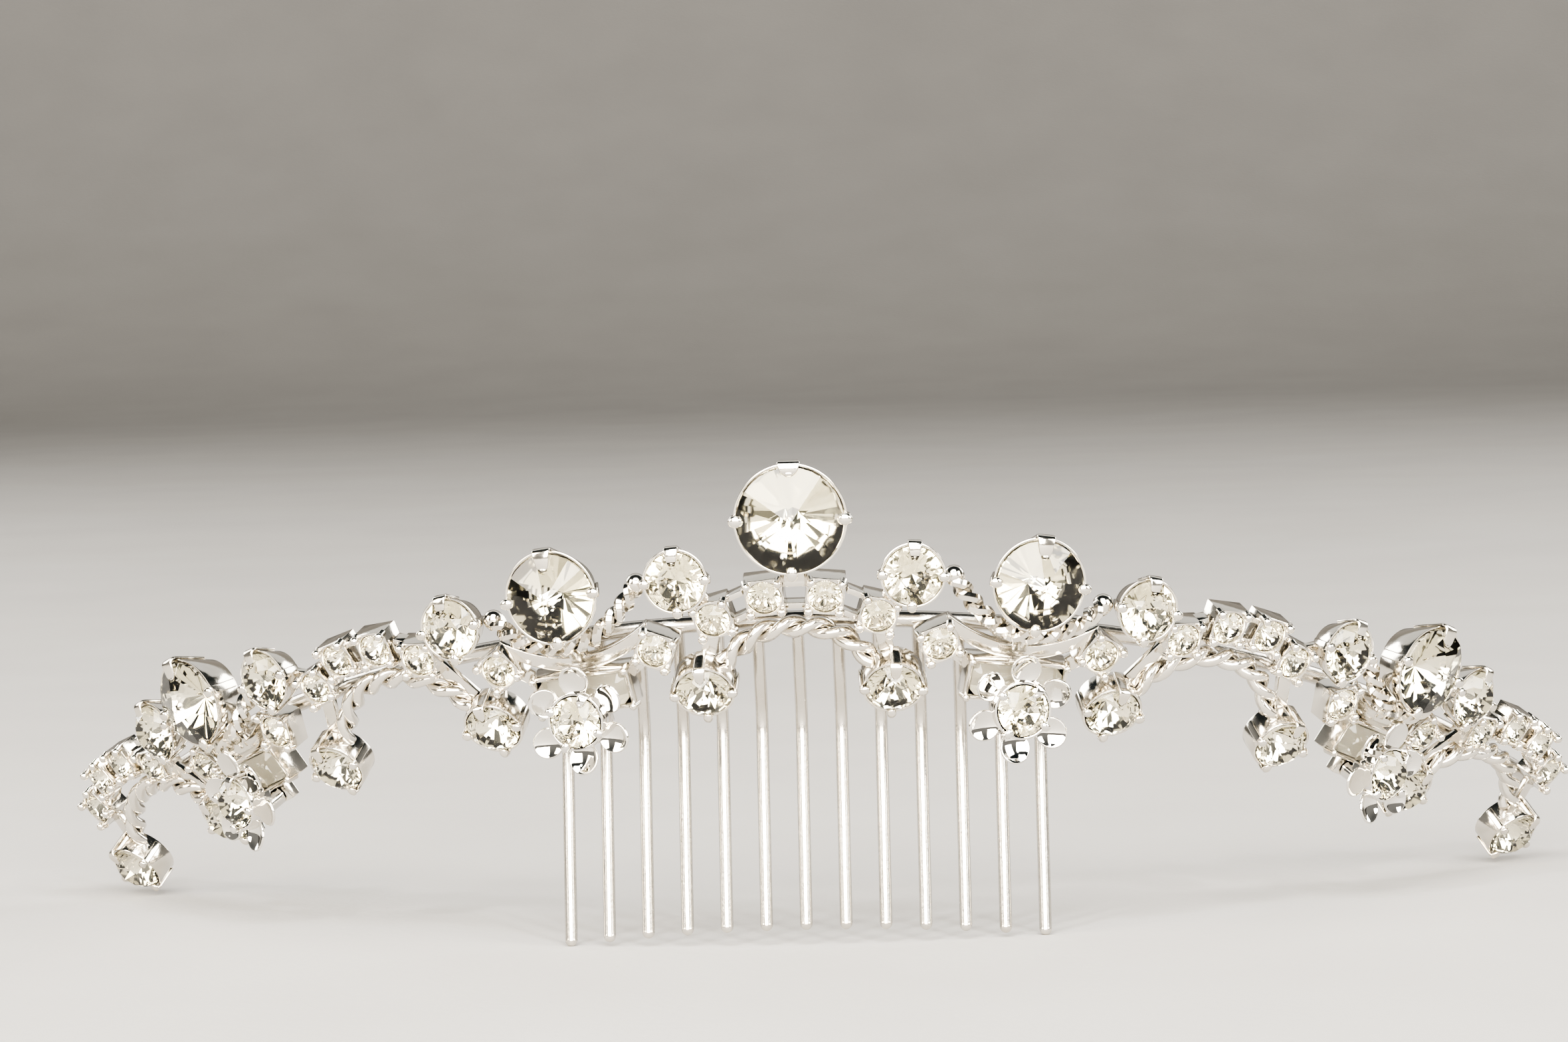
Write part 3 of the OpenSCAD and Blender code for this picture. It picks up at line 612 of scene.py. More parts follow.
def rope(path, outs, strand, lobe, steps_per_lobe, sides):
    """Both strands of a rope along a path; outs says which way it faces"""
    lengths = [0.0]
    for a, b in zip(path, path[1:]):
        lengths.append(lengths[-1] + (b - a).length)
    count = int(lengths[-1] / lobe * steps_per_lobe) + 1
    lines = [[], []]
    k = 0
    for i in range(count + 1):
        here = lengths[-1] * i / count
        while k < len(lengths) - 2 and lengths[k + 1] < here:
            k += 1
        t = (here - lengths[k]) / (lengths[k + 1] - lengths[k])
        spot = path[k].lerp(path[k + 1], t)
        out = outs[k].lerp(outs[k + 1], t)
        ahead = (path[min(k + 2, len(path) - 1)] - path[max(k - 1, 0)]).normalized()
        side = ahead.cross(out).normalized()
        up = ahead.cross(side)
        turn = -math.pi * here / lobe
        # The strands press into each other a little.
        arm = (side * math.cos(turn) + up * math.sin(turn)) * strand * 0.98
        lines[0].append(spot + arm)
        lines[1].append(spot - arm)
    return [round_wire(line, strand, sides) for line in lines]


def bow(start, stop, up_at, out_at):
    """A row of points between two ends: up_at and out_at take a place from
    -1 to 1, and up_at also the height of the end on that side"""
    middle = (start[0] + stop[0]) / 2
    half = (stop[0] - start[0]) / 2
    path, outs = [], []
    for i in range(ROPE_STEPS + 1):
        x = -1 + 2 * i / ROPE_STEPS
        end_up = start[1] if x < 0 else stop[1]
        s = middle + x * half
        path.append(face_point(s, up_at(x, end_up), out_at(x)))
        outs.append(face_out(s))
    return path, outs


# Arches. Four square cups in a bow over a coarse rope, with the cups of the
# top and drop stones soldered on at its ends; the centre one carries the
# large pointed stone on a short seat.
RIGHT_TOPS = [(8.8, 4.2), (27.4, 2.7), (46.6, 2.7), (63.2, 3)]
RIGHT_DROPS = [(7.9, -5.1), (27.2, -6), (44.9, -6), (62.8, -6.1), (81.6, -5.2)]
CREST_UP = 9.6
SQUARE_ENTRY = SQUARE_STONE / 2 + CLEARANCE + 0.04
DROP_ENTRY = cup_bore(DROP_STONE) + 0.05
TOP_ENTRY = cup_bore(TOP_STONE) * 0.9
SEAT_WIDTH = 2.0
SEAT_THICK = 1.2
CREST_BAR = (4.4, 0.6, 0.8)
ROPE_FALL = 2.4  # the higher, the flatter the rope's middle


def both_halves(right):
    """Places from left to right; the left half mirrors the right one"""
    return [(-s, up) for s, up in reversed(right)] + right


TOPS = both_halves(RIGHT_TOPS)
DROPS = both_halves(RIGHT_DROPS)


def arch_rope(k):
    """From the wall of one drop cup over to the other"""
    lands = cup_bore(DROP_STONE) + 0.1
    land_up = lands * 0.66 - math.tan(math.radians(DROP_NOD))
    left, right = DROPS[2 * k:2 * k + 2]
    path, outs = bow(
        (left[0] + lands * 0.75, left[1] + land_up),
        (right[0] - lands * 0.75, right[1] + land_up),
        lambda x, end_up: ROPE_TOP + (end_up - ROPE_TOP) * abs(x) ** ROPE_FALL,
        lambda x: 1,
    )
    return rope(path, outs, COARSE_STRAND, COARSE_LOBE, steps_per_lobe=10, sides=8)


def crest_seat():
    """The bar on the middle cups and the post that carries the crest's cup"""
    lift = math.radians(CREST_LIFT)
    low = ARCH_TOP + SQUARE_SIDE / 2 - 0.5
    high = CREST_UP + 0.12 - cup_radius(CREST_STONE) * CUP_TAPER * math.cos(lift)
    high -= cup_depth(CREST_STONE) * math.sin(lift)
    post = block((SEAT_WIDTH, high - low, SEAT_THICK), (0, (high - low) / 2, SEAT_THICK / 2))
    bar = block(CREST_BAR, (0, SQUARE_SIDE / 2 - CREST_BAR[1] / 2, CREST_BAR[2] / 2))
    soften(post, width=0.12).data.transform(on_face(0, low, LINK_OUT))
    soften(bar, width=0.1).data.transform(on_face(0, ARCH_TOP, LINK_OUT))
    return [post, bar]


for k, arch_name in enumerate(ARCH_NAMES):
    places = cup_places(k)
    cups = [(*place, SQUARE_ENTRY) for place in places]
    metal = copy_at(square_master, [on_face(s, up, turn=cup_turn(k, s)) for s, up in places])
    for one, two in zip(cups, cups[1:]):
        metal += link(one, two, BAR_WIDTH, BAR_THICK, (-BAR_SPREAD / 2, BAR_SPREAD / 2))
    metal += arch_rope(k)
    for cup, drop in zip((cups[0], cups[3]), DROPS[2 * k:2 * k + 2]):
        metal += copy_at(drop_cup_master, [on_face(*drop, nod=DROP_NOD)])
        metal += link(cup, (*drop, DROP_ENTRY), LINK_WIDTH, LINK_THICK)
    for top in TOPS[max(2 * k - 1, 0):2 * k + 1]:
        near = min((cups[3], cups[0]), key=lambda cup: abs(top[0] - cup[0]))
        metal += copy_at(top_master, [lifted(TOP_STONE, *top, TOP_LIFT)])
        metal += link(near, (*top, TOP_ENTRY), LINK_WIDTH, LINK_THICK)
    if arch_name == "center":
        metal += copy_at(crest_cup_master, [lifted(CREST_STONE, 0, CREST_UP, CREST_LIFT)])
        metal += crest_seat()
    arch = fuse(metal, "arch_metal_" + arch_name)
    dress(arch, silver_plate)
    stand_on_table(arch, "silver_plate", "arch_" + arch_name)


# Gem units. A large round cup stands over a fine rope bent in a U, a smooth
# strip and a box setting; a square cup stands at each side, and a tab below
# the box carries the flower's post.
GEMS = both_halves([(18.1, 4.3), (54.9, 3.8)])
FLOWERS = both_halves([(18.1, -5.7), (54.9, -5.2)])
GEM_NAMES = ["outer_left", "inner_left", "inner_right", "outer_right"]
STRIP_WIDTH = 1.3
STRIP_THICK = 0.5
STRIP_RISE = 2.3
STRIP_CLEAR = 3.1
SIDE_STEP = 2.6
SIDE_UP = -1.8
SIDE_TURN = 25.0
LONG_STONE = (7.4, 2.7)
BOX_WALL = 0.35
BOX_DEPTH = 2.2
BOX_LENGTH = LONG_STONE[0] + 2 * (CLEARANCE + BOX_WALL)
BOX_HEIGHT = LONG_STONE[1] + 2 * (CLEARANCE + BOX_WALL)
BACK_OUT = 0.3  # how far strip, neck and tab lie in front of the cups' backs
ROPE_OUT = 2.6
ROPE_BEND_BACK = 1.5  # how far the fine rope's ends come back
FIT = 0.12
POST_RADIUS = 0.75
NECK_WIDTH = 1.4
TAB_WIDTH = 2.6


def gem_foot(k):
    return GEMS[k][1] - cup_radius(GEM_STONE)


def strip_dip(k):
    """The strip's lowest point, lower where gem and flower are further apart"""
    spare = GEMS[k][1] - FLOWERS[k][1] - 8.5
    return gem_foot(k) - 1.04 - STRIP_WIDTH / 2 - spare * 0.85


def box_up(k):
    return strip_dip(k) - STRIP_WIDTH / 2 - BOX_HEIGHT / 2 + 0.2


def post_up(k):
    return box_up(k) - BOX_HEIGHT / 2 - FIT - POST_RADIUS


def gem_ends(k):
    """The top stones at both ends of a unit"""
    return TOPS[2 * k:2 * k + 2]


def side_places(k):
    left, right = gem_ends(k)
    return [(left[0] + SIDE_STEP, SIDE_UP), (right[0] - SIDE_STEP, SIDE_UP)]


def gem_rope(k):
    """A U from one top cup to the other, closed at each end by a small ball"""
    dip = gem_foot(k) - 0.8
    clear = (cup_radius(TOP_STONE) + 2 * FINE_STRAND) * 0.93
    left, right = gem_ends(k)
    path, outs = bow(
        (left[0] + clear, left[1] - 0.4),
        (right[0] - clear, right[1] - 0.4),
        lambda x, end_up: dip + (end_up - dip) * x * x,
        lambda x: ROPE_OUT - ROPE_BEND_BACK * x ** 4,
    )
    strands = rope(path, outs, FINE_STRAND, FINE_LOBE, steps_per_lobe=8, sides=6)
    return strands + [ball(2 * FINE_STRAND, end) for end in (path[0], path[-1])]


def gem_strip(k):
    """The strip is a flat bar, bent edgewise to a shallow U along the band"""
    left, right = gem_ends(k)
    start, stop = left[0] + STRIP_CLEAR, right[0] - STRIP_CLEAR

    def bend(t):
        x = 2 * t - 1
        s = (start + stop) / 2 + x * (stop - start) / 2
        up = strip_dip(k) + STRIP_RISE * x * x
        across = face_point(s, up + 0.5, 0) - face_point(s, up - 0.5, 0)
        return face_point(s, up, BACK_OUT + STRIP_THICK), face_out(s), across, 1

    strip = bent_bar(STRIP_WIDTH, 2 * STRIP_THICK, stop - start, 24, bend)
    return soften(strip, width=0.16, segments=3)


def long_box():
    box = block((BOX_LENGTH, BOX_HEIGHT, BOX_DEPTH), (0, 0, BOX_DEPTH / 2))
    hollow = block(
        (BOX_LENGTH - 2 * BOX_WALL, BOX_HEIGHT - 2 * BOX_WALL, BOX_DEPTH),
        (0, 0, CUP_FLOOR + BOX_DEPTH / 2),
    )
    cut_away(box, hollow)
    parts = [soften(box, width=0.1)]
    corner_x = BOX_LENGTH / 2 - BEAD_RADIUS * 0.3
    corner_y = BOX_HEIGHT / 2 - BEAD_RADIUS * 0.3
    for x, y in CORNERS:
        foot = Vector((x * corner_x, y * corner_y, BOX_DEPTH - 0.7))
        head = foot + Vector((-x * PRONG_LEAN, -y * PRONG_LEAN, 0.85))
        parts.append(round_wire([foot, head], BEAD_RADIUS))
        parts.append(ball(BEAD_RADIUS * 1.02, head, 12, 8))
    return fuse(parts, "long_box")


def gem_neck(k):
    """A neck behind the rope joins the large cup, the rope and the strip"""
    low = strip_dip(k)
    tall = gem_foot(k) + 0.45 - low
    neck = block((NECK_WIDTH, tall, 1), (0, tall / 2, 0.5))
    reach = ROPE_OUT - BACK_OUT
    arm = block((NECK_WIDTH, 1.45, reach), (0, 0, reach / 2))
    soften(neck, width=0.12).data.transform(on_face(GEMS[k][0], low, BACK_OUT))
    soften(arm, width=0.12).data.transform(on_face(GEMS[k][0], gem_foot(k) - 0.275, BACK_OUT))
    return [neck, arm]


def flower_tab(k):
    """The tab below the box, against which the flower's post is soldered"""
    tall = 2 * POST_RADIUS + FIT + 0.2
    tab = soften(block((TAB_WIDTH, tall, 1), (0, tall / 2, 0.5)), width=0.12)
    tab.data.transform(on_face(FLOWERS[k][0], post_up(k) - POST_RADIUS, BACK_OUT))
    return tab


box_master = long_box()
for k, gem_name in enumerate(GEM_NAMES):
    gem_s = GEMS[k][0]
    metal = copy_at(gem_cup_master, [lifted(GEM_STONE, *GEMS[k], GEM_LIFT)])
    metal += gem_rope(k)
    metal.append(gem_strip(k))
    metal += gem_neck(k)
    metal += copy_at(box_master, [on_face(gem_s, box_up(k))])
    for side, (s, up) in zip((1, -1), side_places(k)):
        box_end = (gem_s - side * (BOX_LENGTH / 2 - 0.3), box_up(k) + BOX_HEIGHT / 2 - 0.9, 0)
        strip_end = (s + side * 1.4, strip_dip(k) + STRIP_RISE * 0.55, 0)
        metal += copy_at(square_master, [on_face(s, up, turn=side * SIDE_TURN)])
        metal += link((s, up, SQUARE_ENTRY), box_end, LINK_WIDTH, LINK_THICK)
        metal += link((s, up, SQUARE_ENTRY), strip_end, LINK_WIDTH, LINK_THICK)
    metal.append(flower_tab(k))
    unit = fuse(metal, "gem_metal_" + gem_name)
    dress(unit, silver_plate)
    stand_on_table(unit, "silver_plate", "gem_setting_" + gem_name)


# Flowers. Six stamped spoon petals stand round a small cup with four claws,
# soldered on a post in front of the gem unit. Each petal is bent by hand, so
# no two lean alike.
PETAL_WIDE = 2.5
PETAL_REACH = 3.25
PETAL_RISE = 1.0
PETAL_WALL = 0.2
PETAL_START = 88
PETAL_LEANS = [-14, -22, -6, -20, -9, -26]
FLOWER_OUT = 3.3
STEM = (0.8, 0.9, 0.5)
STEM_REACH = 2.5

# Mirror-bright plated sheet: the petals reflect sharply, dark beside bright.
petal_plate = polished_metal(
    "mirror_bright_petal_plate", "#EFEDE8", "#DCD8D0", 0.02, 0.07, 0.000006)


def spoon_petal():
    """A thin shallow bowl cut from a ball, a little longer than wide"""
    bowl = PETAL_WIDE * 1.05
    cut_level = bowl - math.sqrt(bowl ** 2 - (PETAL_WIDE / 2) ** 2)
    clear_pick()
    bpy.ops.mesh.primitive_uv_sphere_add(
        segments=28, ring_count=40, radius=bowl, location=(0, 0, bowl),
    )
    petal = bpy.context.object
    bpy.ops.object.transform_apply(location=True, rotation=True, scale=True)
    bpy.ops.object.mode_set(mode="EDIT")
    bpy.ops.mesh.select_all(action="SELECT")
    bpy.ops.mesh.bisect(plane_co=(0, 0, cut_level), plane_no=(0, 0, 1), clear_outer=True)
    bpy.ops.object.mode_set(mode="OBJECT")
    wall = petal.modifiers.new("wall", "SOLIDIFY")
    wall.thickness = PETAL_WALL
    wall.offset = -1
    apply_all(petal)
    soften(petal, width=0.06, segments=3, limit=50)
    petal.data.transform(Matrix.Diagonal((1.1, 1.02, 1, 1)))
    return petal


petal_master = spoon_petal()
for k, gem_name in enumerate(GEM_NAMES):
    place = lifted(FLOWER_STONE, *FLOWERS[k], FLOWER_LIFT, FLOWER_OUT)
    metal = copy_at(flower_cup_master, [place])
    for i, lean in enumerate(PETAL_LEANS):
        spin = Matrix.Rotation(math.radians(PETAL_START + i * 360 / len(PETAL_LEANS)), 4, "Z")
        seat = Matrix.Translation((PETAL_REACH, 0, PETAL_RISE))
        tip = Matrix.Rotation(math.radians(lean), 4, "Y")
        metal += copy_at(petal_master, [place @ spin @ seat @ tip])
        stem = soften(block(STEM, (STEM_REACH, 0, PETAL_RISE - 0.3)), width=0.1)
        stem.data.transform(place @ spin)
        metal.append(stem)
    post_lift = post_up(k) - FLOWERS[k][1]
    post_foot = Vector((0, post_lift, BACK_OUT + 1 + FIT - FLOWER_OUT))
    post = round_wire([post_foot, Vector((0, post_lift, 0.65))], POST_RADIUS, 10)
    post.data.transform(on_face(*FLOWERS[k], FLOWER_OUT))
    metal.append(post)
    flower = fuse(metal, "flower_metal_" + gem_name)
    dress(flower, petal_plate)
    stand_on_table(flower, "silver_plate", "flower_" + gem_name)

drop_master(
    square_master, top_master, drop_cup_master, flower_cup_master,
    gem_cup_master, crest_cup_master, box_master, petal_master,
)


# Stones. Lead crystal, cut and polished, with a silvered foil on the back:
# light goes in through the crown, is thrown back by the foil and leaves
# through other facets. Each blank is cut facet by facet, as on a wheel.
STONE_SINK = 0.1  # the girdle's foot, below a round cup's rim
SMALL_SINK = 0.25
GIRDLE = 0.05  # these three are shares of a stone's diameter
CROWN = 0.19
PAVILION = 0.38
TABLE_SPAN = 0.55  # these four are shares of its radius
KITE_SPAN = 0.8
LOW_SPAN = 0.3
POINT_SPAN = 0.07  # the small table of a pointed stone
EIGHTH, SIXTEENTH = 45.0, 22.5
LONG_TALL = 1.65
LONG_EDGE = 1.1  # where the long stone's lower step ends
LONG_TURN = 0.9  # where its back turns in
LONG_STEP = 1.5  # the height of its upper step
LONG_CORNER = 0.5

# Cut glass, flawless: clear, with a breath of warmth that drifts over 2 mm.
crystal, tree, shader = new_material("lead_crystal")
place = add_node(tree, "ShaderNodeTexCoord").outputs["Object"]
drift = add_node(tree, "ShaderNodeTexNoise", {"Scale": 500.0, "Detail": 1.0}, {"Vector": place})
drifting_tint(tree, shader, "#FFFEFB", "#F8F4EA", drift)
shader.inputs["Roughness"].default_value = 0.0
shader.inputs["IOR"].default_value = 1.56
shader.inputs["Transmission Weight"].default_value = 1.0


def foil_backing(name, light, deep, rough_low, rough_high):
    """Sprayed silvering: it scatters a little, unevenly over about 0.5 mm, so
    a facet glows pale instead of being a sharp mirror"""
    material, tree, shader = new_material(name)
    place = add_node(tree, "ShaderNodeTexCoord").outputs["Object"]
    grain = add_node(
        tree, "ShaderNodeTexNoise", {"Scale": 2000.0, "Detail": 2.0}, {"Vector": place},
    )
    rough = add_node(
        tree, "ShaderNodeMapRange",
        {"To Min": rough_low, "To Max": rough_high}, {"Value": grain.outputs["Fac"]},
    )
    drifting_tint(tree, shader, light, deep, grain)
    tree.links.new(rough.outputs["Result"], shader.inputs["Roughness"])
    shader.inputs["Metallic"].default_value = 1.0
    return material


# Silvered foil: pale and bright, nearly a mirror.
foil = foil_backing("silvered_foil_backing", "#FAF9EE", "#F2EEDC", 0.03, 0.08)
# The long stones are backed with a duller foil, which looks milky.
dull_foil = foil_backing("dull_cream_foil_backing", "#FFFEF8", "#FBF7EA", 0.4, 0.55)


def stone_blank(d, low, high):
    """A round blank with its girdle's foot at the origin"""
    clear_pick()
    bpy.ops.mesh.primitive_cylinder_add(
        vertices=32, radius=d / 2, depth=high - low, location=(0, 0, (high + low) / 2),
    )
    bpy.ops.object.transform_apply(location=True, rotation=True, scale=True)
    return bpy.context.object


def cut_plane(spot, normal):
    """Grinds away all that lies beyond a plane; the stone is in edit mode"""
    bpy.ops.mesh.select_all(action="SELECT")
    bpy.ops.mesh.bisect(plane_co=spot, plane_no=normal, clear_outer=True, use_fill=True)


def cut_facets(azimuths, inner, outer):
    """Cuts one facet at each azimuth; its profile runs from inner to outer,
    each (distance from the middle, height)"""
    lift = inner[1] - outer[1]
    shrink = outer[0] - inner[0]
    normal = Vector((abs(lift), 0, shrink if lift > 0 else -shrink)).normalized()
    bpy.ops.object.mode_set(mode="EDIT")
    for azimuth in azimuths:
        turn = Matrix.Rotation(math.radians(azimuth), 3, "Z")
        cut_plane(turn @ Vector((outer[0], 0, outer[1])), turn @ normal)
    bpy.ops.object.mode_set(mode="OBJECT")


def back_with_foil(piece, backing):
    """The facets that look down carry the foil"""
    dress(piece, crystal, backing)
    for face in piece.data.polygons:
        face.material_index = 1 if face.normal.z < -0.1 else 0
        face.use_smooth = False
    return piece


def brilliant(d):
    """A table, eight stars, eight kites and sixteen halves over the girdle"""
    r = d / 2
    girdle, table, point = GIRDLE * d, GIRDLE * d + CROWN * d, -PAVILION * d
    # A facet between two corners of its ring lies a little nearer the middle.
    half = math.cos(math.radians(SIXTEENTH / 2))
    wide = math.cos(math.radians(EIGHTH / 2))
    table_r, mid_r, low_r = TABLE_SPAN * r, KITE_SPAN * r, LOW_SPAN * r
    mid_z = girdle + (table - girdle) * (r - mid_r * wide) / (r - table_r)
    low_z = point * (1 - low_r * wide / r)
    kites = [EIGHTH * i for i in range(8)]
    stars = [SIXTEENTH + EIGHTH * i for i in range(8)]
    halves = [SIXTEENTH / 2 + SIXTEENTH * i for i in range(16)]
    piece = stone_blank(d, point, table)
    cut_facets(kites, (table_r, table), (r, girdle))
    cut_facets(stars, (table_r * wide, table), (mid_r, mid_z))
    cut_facets(halves, (mid_r * half, mid_z), (r * half, girdle))
    cut_facets(kites, (0, point), (r, 0))
    cut_facets(halves, (low_r * half, low_z), (r * half, 0))
    return back_with_foil(piece, foil)


def pointed_stone(d):
    """Sixteen long facets rise to a small table and sixteen fall to a point;
    each was ground by hand, so its slope is a degree or two off the next"""
    r = d / 2
    girdle, table, point = GIRDLE * d, GIRDLE * d + CROWN * d, -PAVILION * d
    half = math.cos(math.radians(SIXTEENTH / 2))
    piece = stone_blank(d, point, table)
    for i in range(16):
        crown_off = 0.008 * d * (i * 7 % 5 - 2)
        back_off = 0.006 * d * (i * 3 % 5 - 2)
        crown_turn = SIXTEENTH / 2 + SIXTEENTH * i
        cut_facets([crown_turn], (POINT_SPAN * r, table), (r * half, girdle + crown_off))
        cut_facets([SIXTEENTH * i], (0, point), (r * half, back_off))
    return back_with_foil(piece, foil)


def step_cut_stone():
    """A long stone with clipped corners and two steps round its table"""
    length, width = LONG_STONE
    piece = block((length, width, LONG_TALL), (0, 0, LONG_TALL / 2))
    bpy.ops.object.mode_set(mode="EDIT")
    corner_x, corner_y = (length - LONG_CORNER) / 2, (width - LONG_CORNER) / 2
    for x, y in CORNERS:
        cut_plane((x * corner_x, y * corner_y, 0), (x, y, 0))
        cut_plane((x * corner_x, y * corner_y, LONG_EDGE), (x * 0.5, y * 0.5, 0.75))
    for side in (-1, 1):
        cut_plane((0, side * width / 2, LONG_EDGE), (0, side * 0.4, 0.46))
        cut_plane((0, side * width / 2 * 0.66, LONG_STEP), (0, side * 0.15, 0.27))
        cut_plane((side * length / 2, 0, LONG_EDGE), (side * 0.4, 0, 0.46))
        cut_plane((side * (length / 2 - 0.46), 0, LONG_STEP), (side * 0.15, 0, 0.27))
        cut_plane((0, side * width / 2, LONG_TURN), (0, side * 0.9, -0.55))
        cut_plane((side * length / 2, 0, LONG_TURN), (side * 0.9, 0, -0.55))
    bpy.ops.object.mode_set(mode="OBJECT")
    piece.data.transform(Matrix.Translation((0, 0, BOX_DEPTH - 1.2)))
    return back_with_foil(piece, dull_foil)


def seated(d, place):
    """Where a stone sits in the round cup at a place"""
    return place @ Matrix.Translation((0, 0, cup_depth(d) - STONE_SINK))


def raised(d, s, up, lift, out=0.0):
    """Where a stone sits in a lifted cup"""
    return seated(d, lifted(d, s, up, lift, out))


def small_seat(s, up, turn):
    """Where a small stone sits in a square cup"""
    return on_face(s, up, turn=turn) @ Matrix.Translation((0, 0, SQUARE_DEPTH - SMALL_SINK))


def set_stones(master, places, kind, node_kind, name):
    """One piece of the stones at these places, for the node of that kind"""
    piece = fuse(copy_at(master, places), kind + name)
    stand_on_table(piece, "foiled_crystal", node_kind + name)


crest_master = pointed_stone(CREST_STONE)
crest_place = raised(CREST_STONE, 0, CREST_UP, CREST_LIFT)
set_stones(crest_master, [crest_place], "crest_crystal", "crest_stone", "")
gem_master = pointed_stone(GEM_STONE)
top_stone_master = brilliant(TOP_STONE)
drop_stone_master = brilliant(DROP_STONE)
flower_stone_master = brilliant(FLOWER_STONE)
small_master = brilliant(SQUARE_STONE)
long_master = step_cut_stone()
for k, gem_name in enumerate(GEM_NAMES):
    gem_place = raised(GEM_STONE, *GEMS[k], GEM_LIFT)
    flower_place = raised(FLOWER_STONE, *FLOWERS[k], FLOWER_LIFT, FLOWER_OUT)
    long_place = on_face(GEMS[k][0], box_up(k))
    side_seats = [
        small_seat(s, up, side * SIDE_TURN) for side, (s, up) in zip((1, -1), side_places(k))
    ]
    set_stones(gem_master, [gem_place], "gem_crystal_", "gem_stone_", gem_name)
    set_stones(flower_stone_master, [flower_place], "flower_crystal_", "flower_stone_", gem_name)
    set_stones(long_master, [long_place], "long_crystal_", "long_stone_", gem_name)
    set_stones(small_master, side_seats, "side_crystals_", "side_stones_", gem_name)
for k, arch_name in enumerate(ARCH_NAMES):
    arch_seats = [small_seat(s, up, cup_turn(k, s)) for s, up in cup_places(k)]
    set_stones(small_master, arch_seats, "arch_crystals_", "arch_stones_", arch_name)
for side, side_name in ((-1, "left"), (1, "right")):
    for j, (drop_s, drop_up) in enumerate(RIGHT_DROPS):
        number = f"{side_name}_{j + 1}"
        if j < len(RIGHT_TOPS):
            top_s, top_up = RIGHT_TOPS[j]
            top_place = raised(TOP_STONE, side * top_s, top_up, TOP_LIFT)
            set_stones(top_stone_master, [top_place], "top_crystal_", "top_stone_", number)
        drop_place = seated(DROP_STONE, on_face(side * drop_s, drop_up, nod=DROP_NOD))
        set_stones(drop_stone_master, [drop_place], "drop_crystal_", "drop_stone_", number)
drop_master(
    crest_master, gem_master, top_stone_master, drop_stone_master,
    flower_stone_master, small_master, long_master,
)


# The table. A plain pale sheet of backdrop paper, in metres, lies flat under
# the tiara and curves up behind it to a wall.
SWEEP_WIDTH = 5.0
SWEEP_LENGTH = 3.4
SWEEP_FRONT = -1.2
SWEEP_BEND = 0.9  # where it starts to curve up
SWEEP_RADIUS = 0.5

clear_pick()
bpy.ops.mesh.primitive_grid_add(x_subdivisions=2, y_subdivisions=60, size=1, location=(0, 0, 0))
sweep = bpy.context.object
for vertex in sweep.data.vertices:
    x = vertex.co.x * SWEEP_WIDTH
    along = (vertex.co.y + 0.5) * SWEEP_LENGTH + SWEEP_FRONT
    if along < SWEEP_BEND:
        vertex.co = (x, along, 0)
    else:
        turn = min((along - SWEEP_BEND) / SWEEP_RADIUS, math.pi / 2)
        rest = max(along - SWEEP_BEND - SWEEP_RADIUS * math.pi / 2, 0)
        vertex.co = (
            x, SWEEP_BEND + SWEEP_RADIUS * math.sin(turn),
            SWEEP_RADIUS - SWEEP_RADIUS * math.cos(turn) + rest,
        )
sweep.name = "table_sweep"
bpy.ops.object.shade_smooth()
# Matt uncoated paper: pulp clouds of about 3 cm and fibres of about 1 mm, far
# coarser than real ones, keep it from being flat.
paper, tree, shader = new_material("matt_backdrop_paper")
place = add_node(tree, "ShaderNodeTexCoord").outputs["Object"]
cloud = add_node(tree, "ShaderNodeTexNoise", {"Scale": 35.0, "Detail": 2.0}, {"Vector": place})
fibre = add_node(tree, "ShaderNodeTexNoise", {"Scale": 900.0, "Detail": 3.0}, {"Vector": place})
bump = add_node(
    tree, "ShaderNodeBump",
    {"Strength": 0.25, "Distance": 0.0002}, {"Height": fibre.outputs["Fac"]},
)
drifting_tint(tree, shader, "#A09E9C", "#979593", cloud)
tree.links.new(bump.outputs["Normal"], shader.inputs["Normal"])
shader.inputs["Roughness"].default_value = 0.85
dress(sweep, paper)


# Light. Soft boxes in front, above, at the sides and behind, in a dim room,
# so that the polished metal shows both bright and dark; two small lamps make
# the stones sparkle. Each has its place and size in metres and its watts.
SOFT_BOXES = [
    ("front_box", (0, -0.75, 0.31), (0.86, 0.42), 20.0, "#FFF8EC"),
    ("right_box", (0.6, -0.32, 0.33), (0.34, 0.4), 5.5, "#FFFBF2"),
    ("left_box", (-0.62, -0.3, 0.33), (0.32, 0.4), 5.0, "#FFF4E2"),
    ("high_box", (0, -0.42, 0.64), (0.5, 0.24), 6.5, "#FFFDF8"),
    ("spark_one", (-0.32, -0.5, 0.55), (0.05, 0.05), 2.5, "#FFFDF6"),
    ("spark_two", (0.3, -0.55, 0.45), (0.04, 0.04), 1.8, "#FFFFFF"),
    ("back_left_box", (-0.5, 0.42, 0.3), (0.3, 0.36), 2.2, "#FFFDF8"),
    ("back_right_box", (0.5, 0.42, 0.3), (0.3, 0.36), 2.2, "#FFFDF8"),
    ("back_high_box", (0, 0.4, 0.5), (0.9, 0.34), 0.7, "#FFFDF8"),
]
LIGHT_AIM = Vector((0, 0, 0.02))
ROOM_LIGHT = 0.55

for name, place, size, watts, colour in SOFT_BOXES:
    clear_pick()
    bpy.ops.object.light_add(type="AREA", location=place)
    lamp = bpy.context.object
    lamp.name = name
    lamp.data.shape = "RECTANGLE"
    lamp.data.size, lamp.data.size_y = size
    lamp.data.energy = watts
    lamp.data.color = linear(colour)[:3]
    lamp.rotation_euler = (LIGHT_AIM - Vector(place)).to_track_quat("-Z", "Y").to_euler()

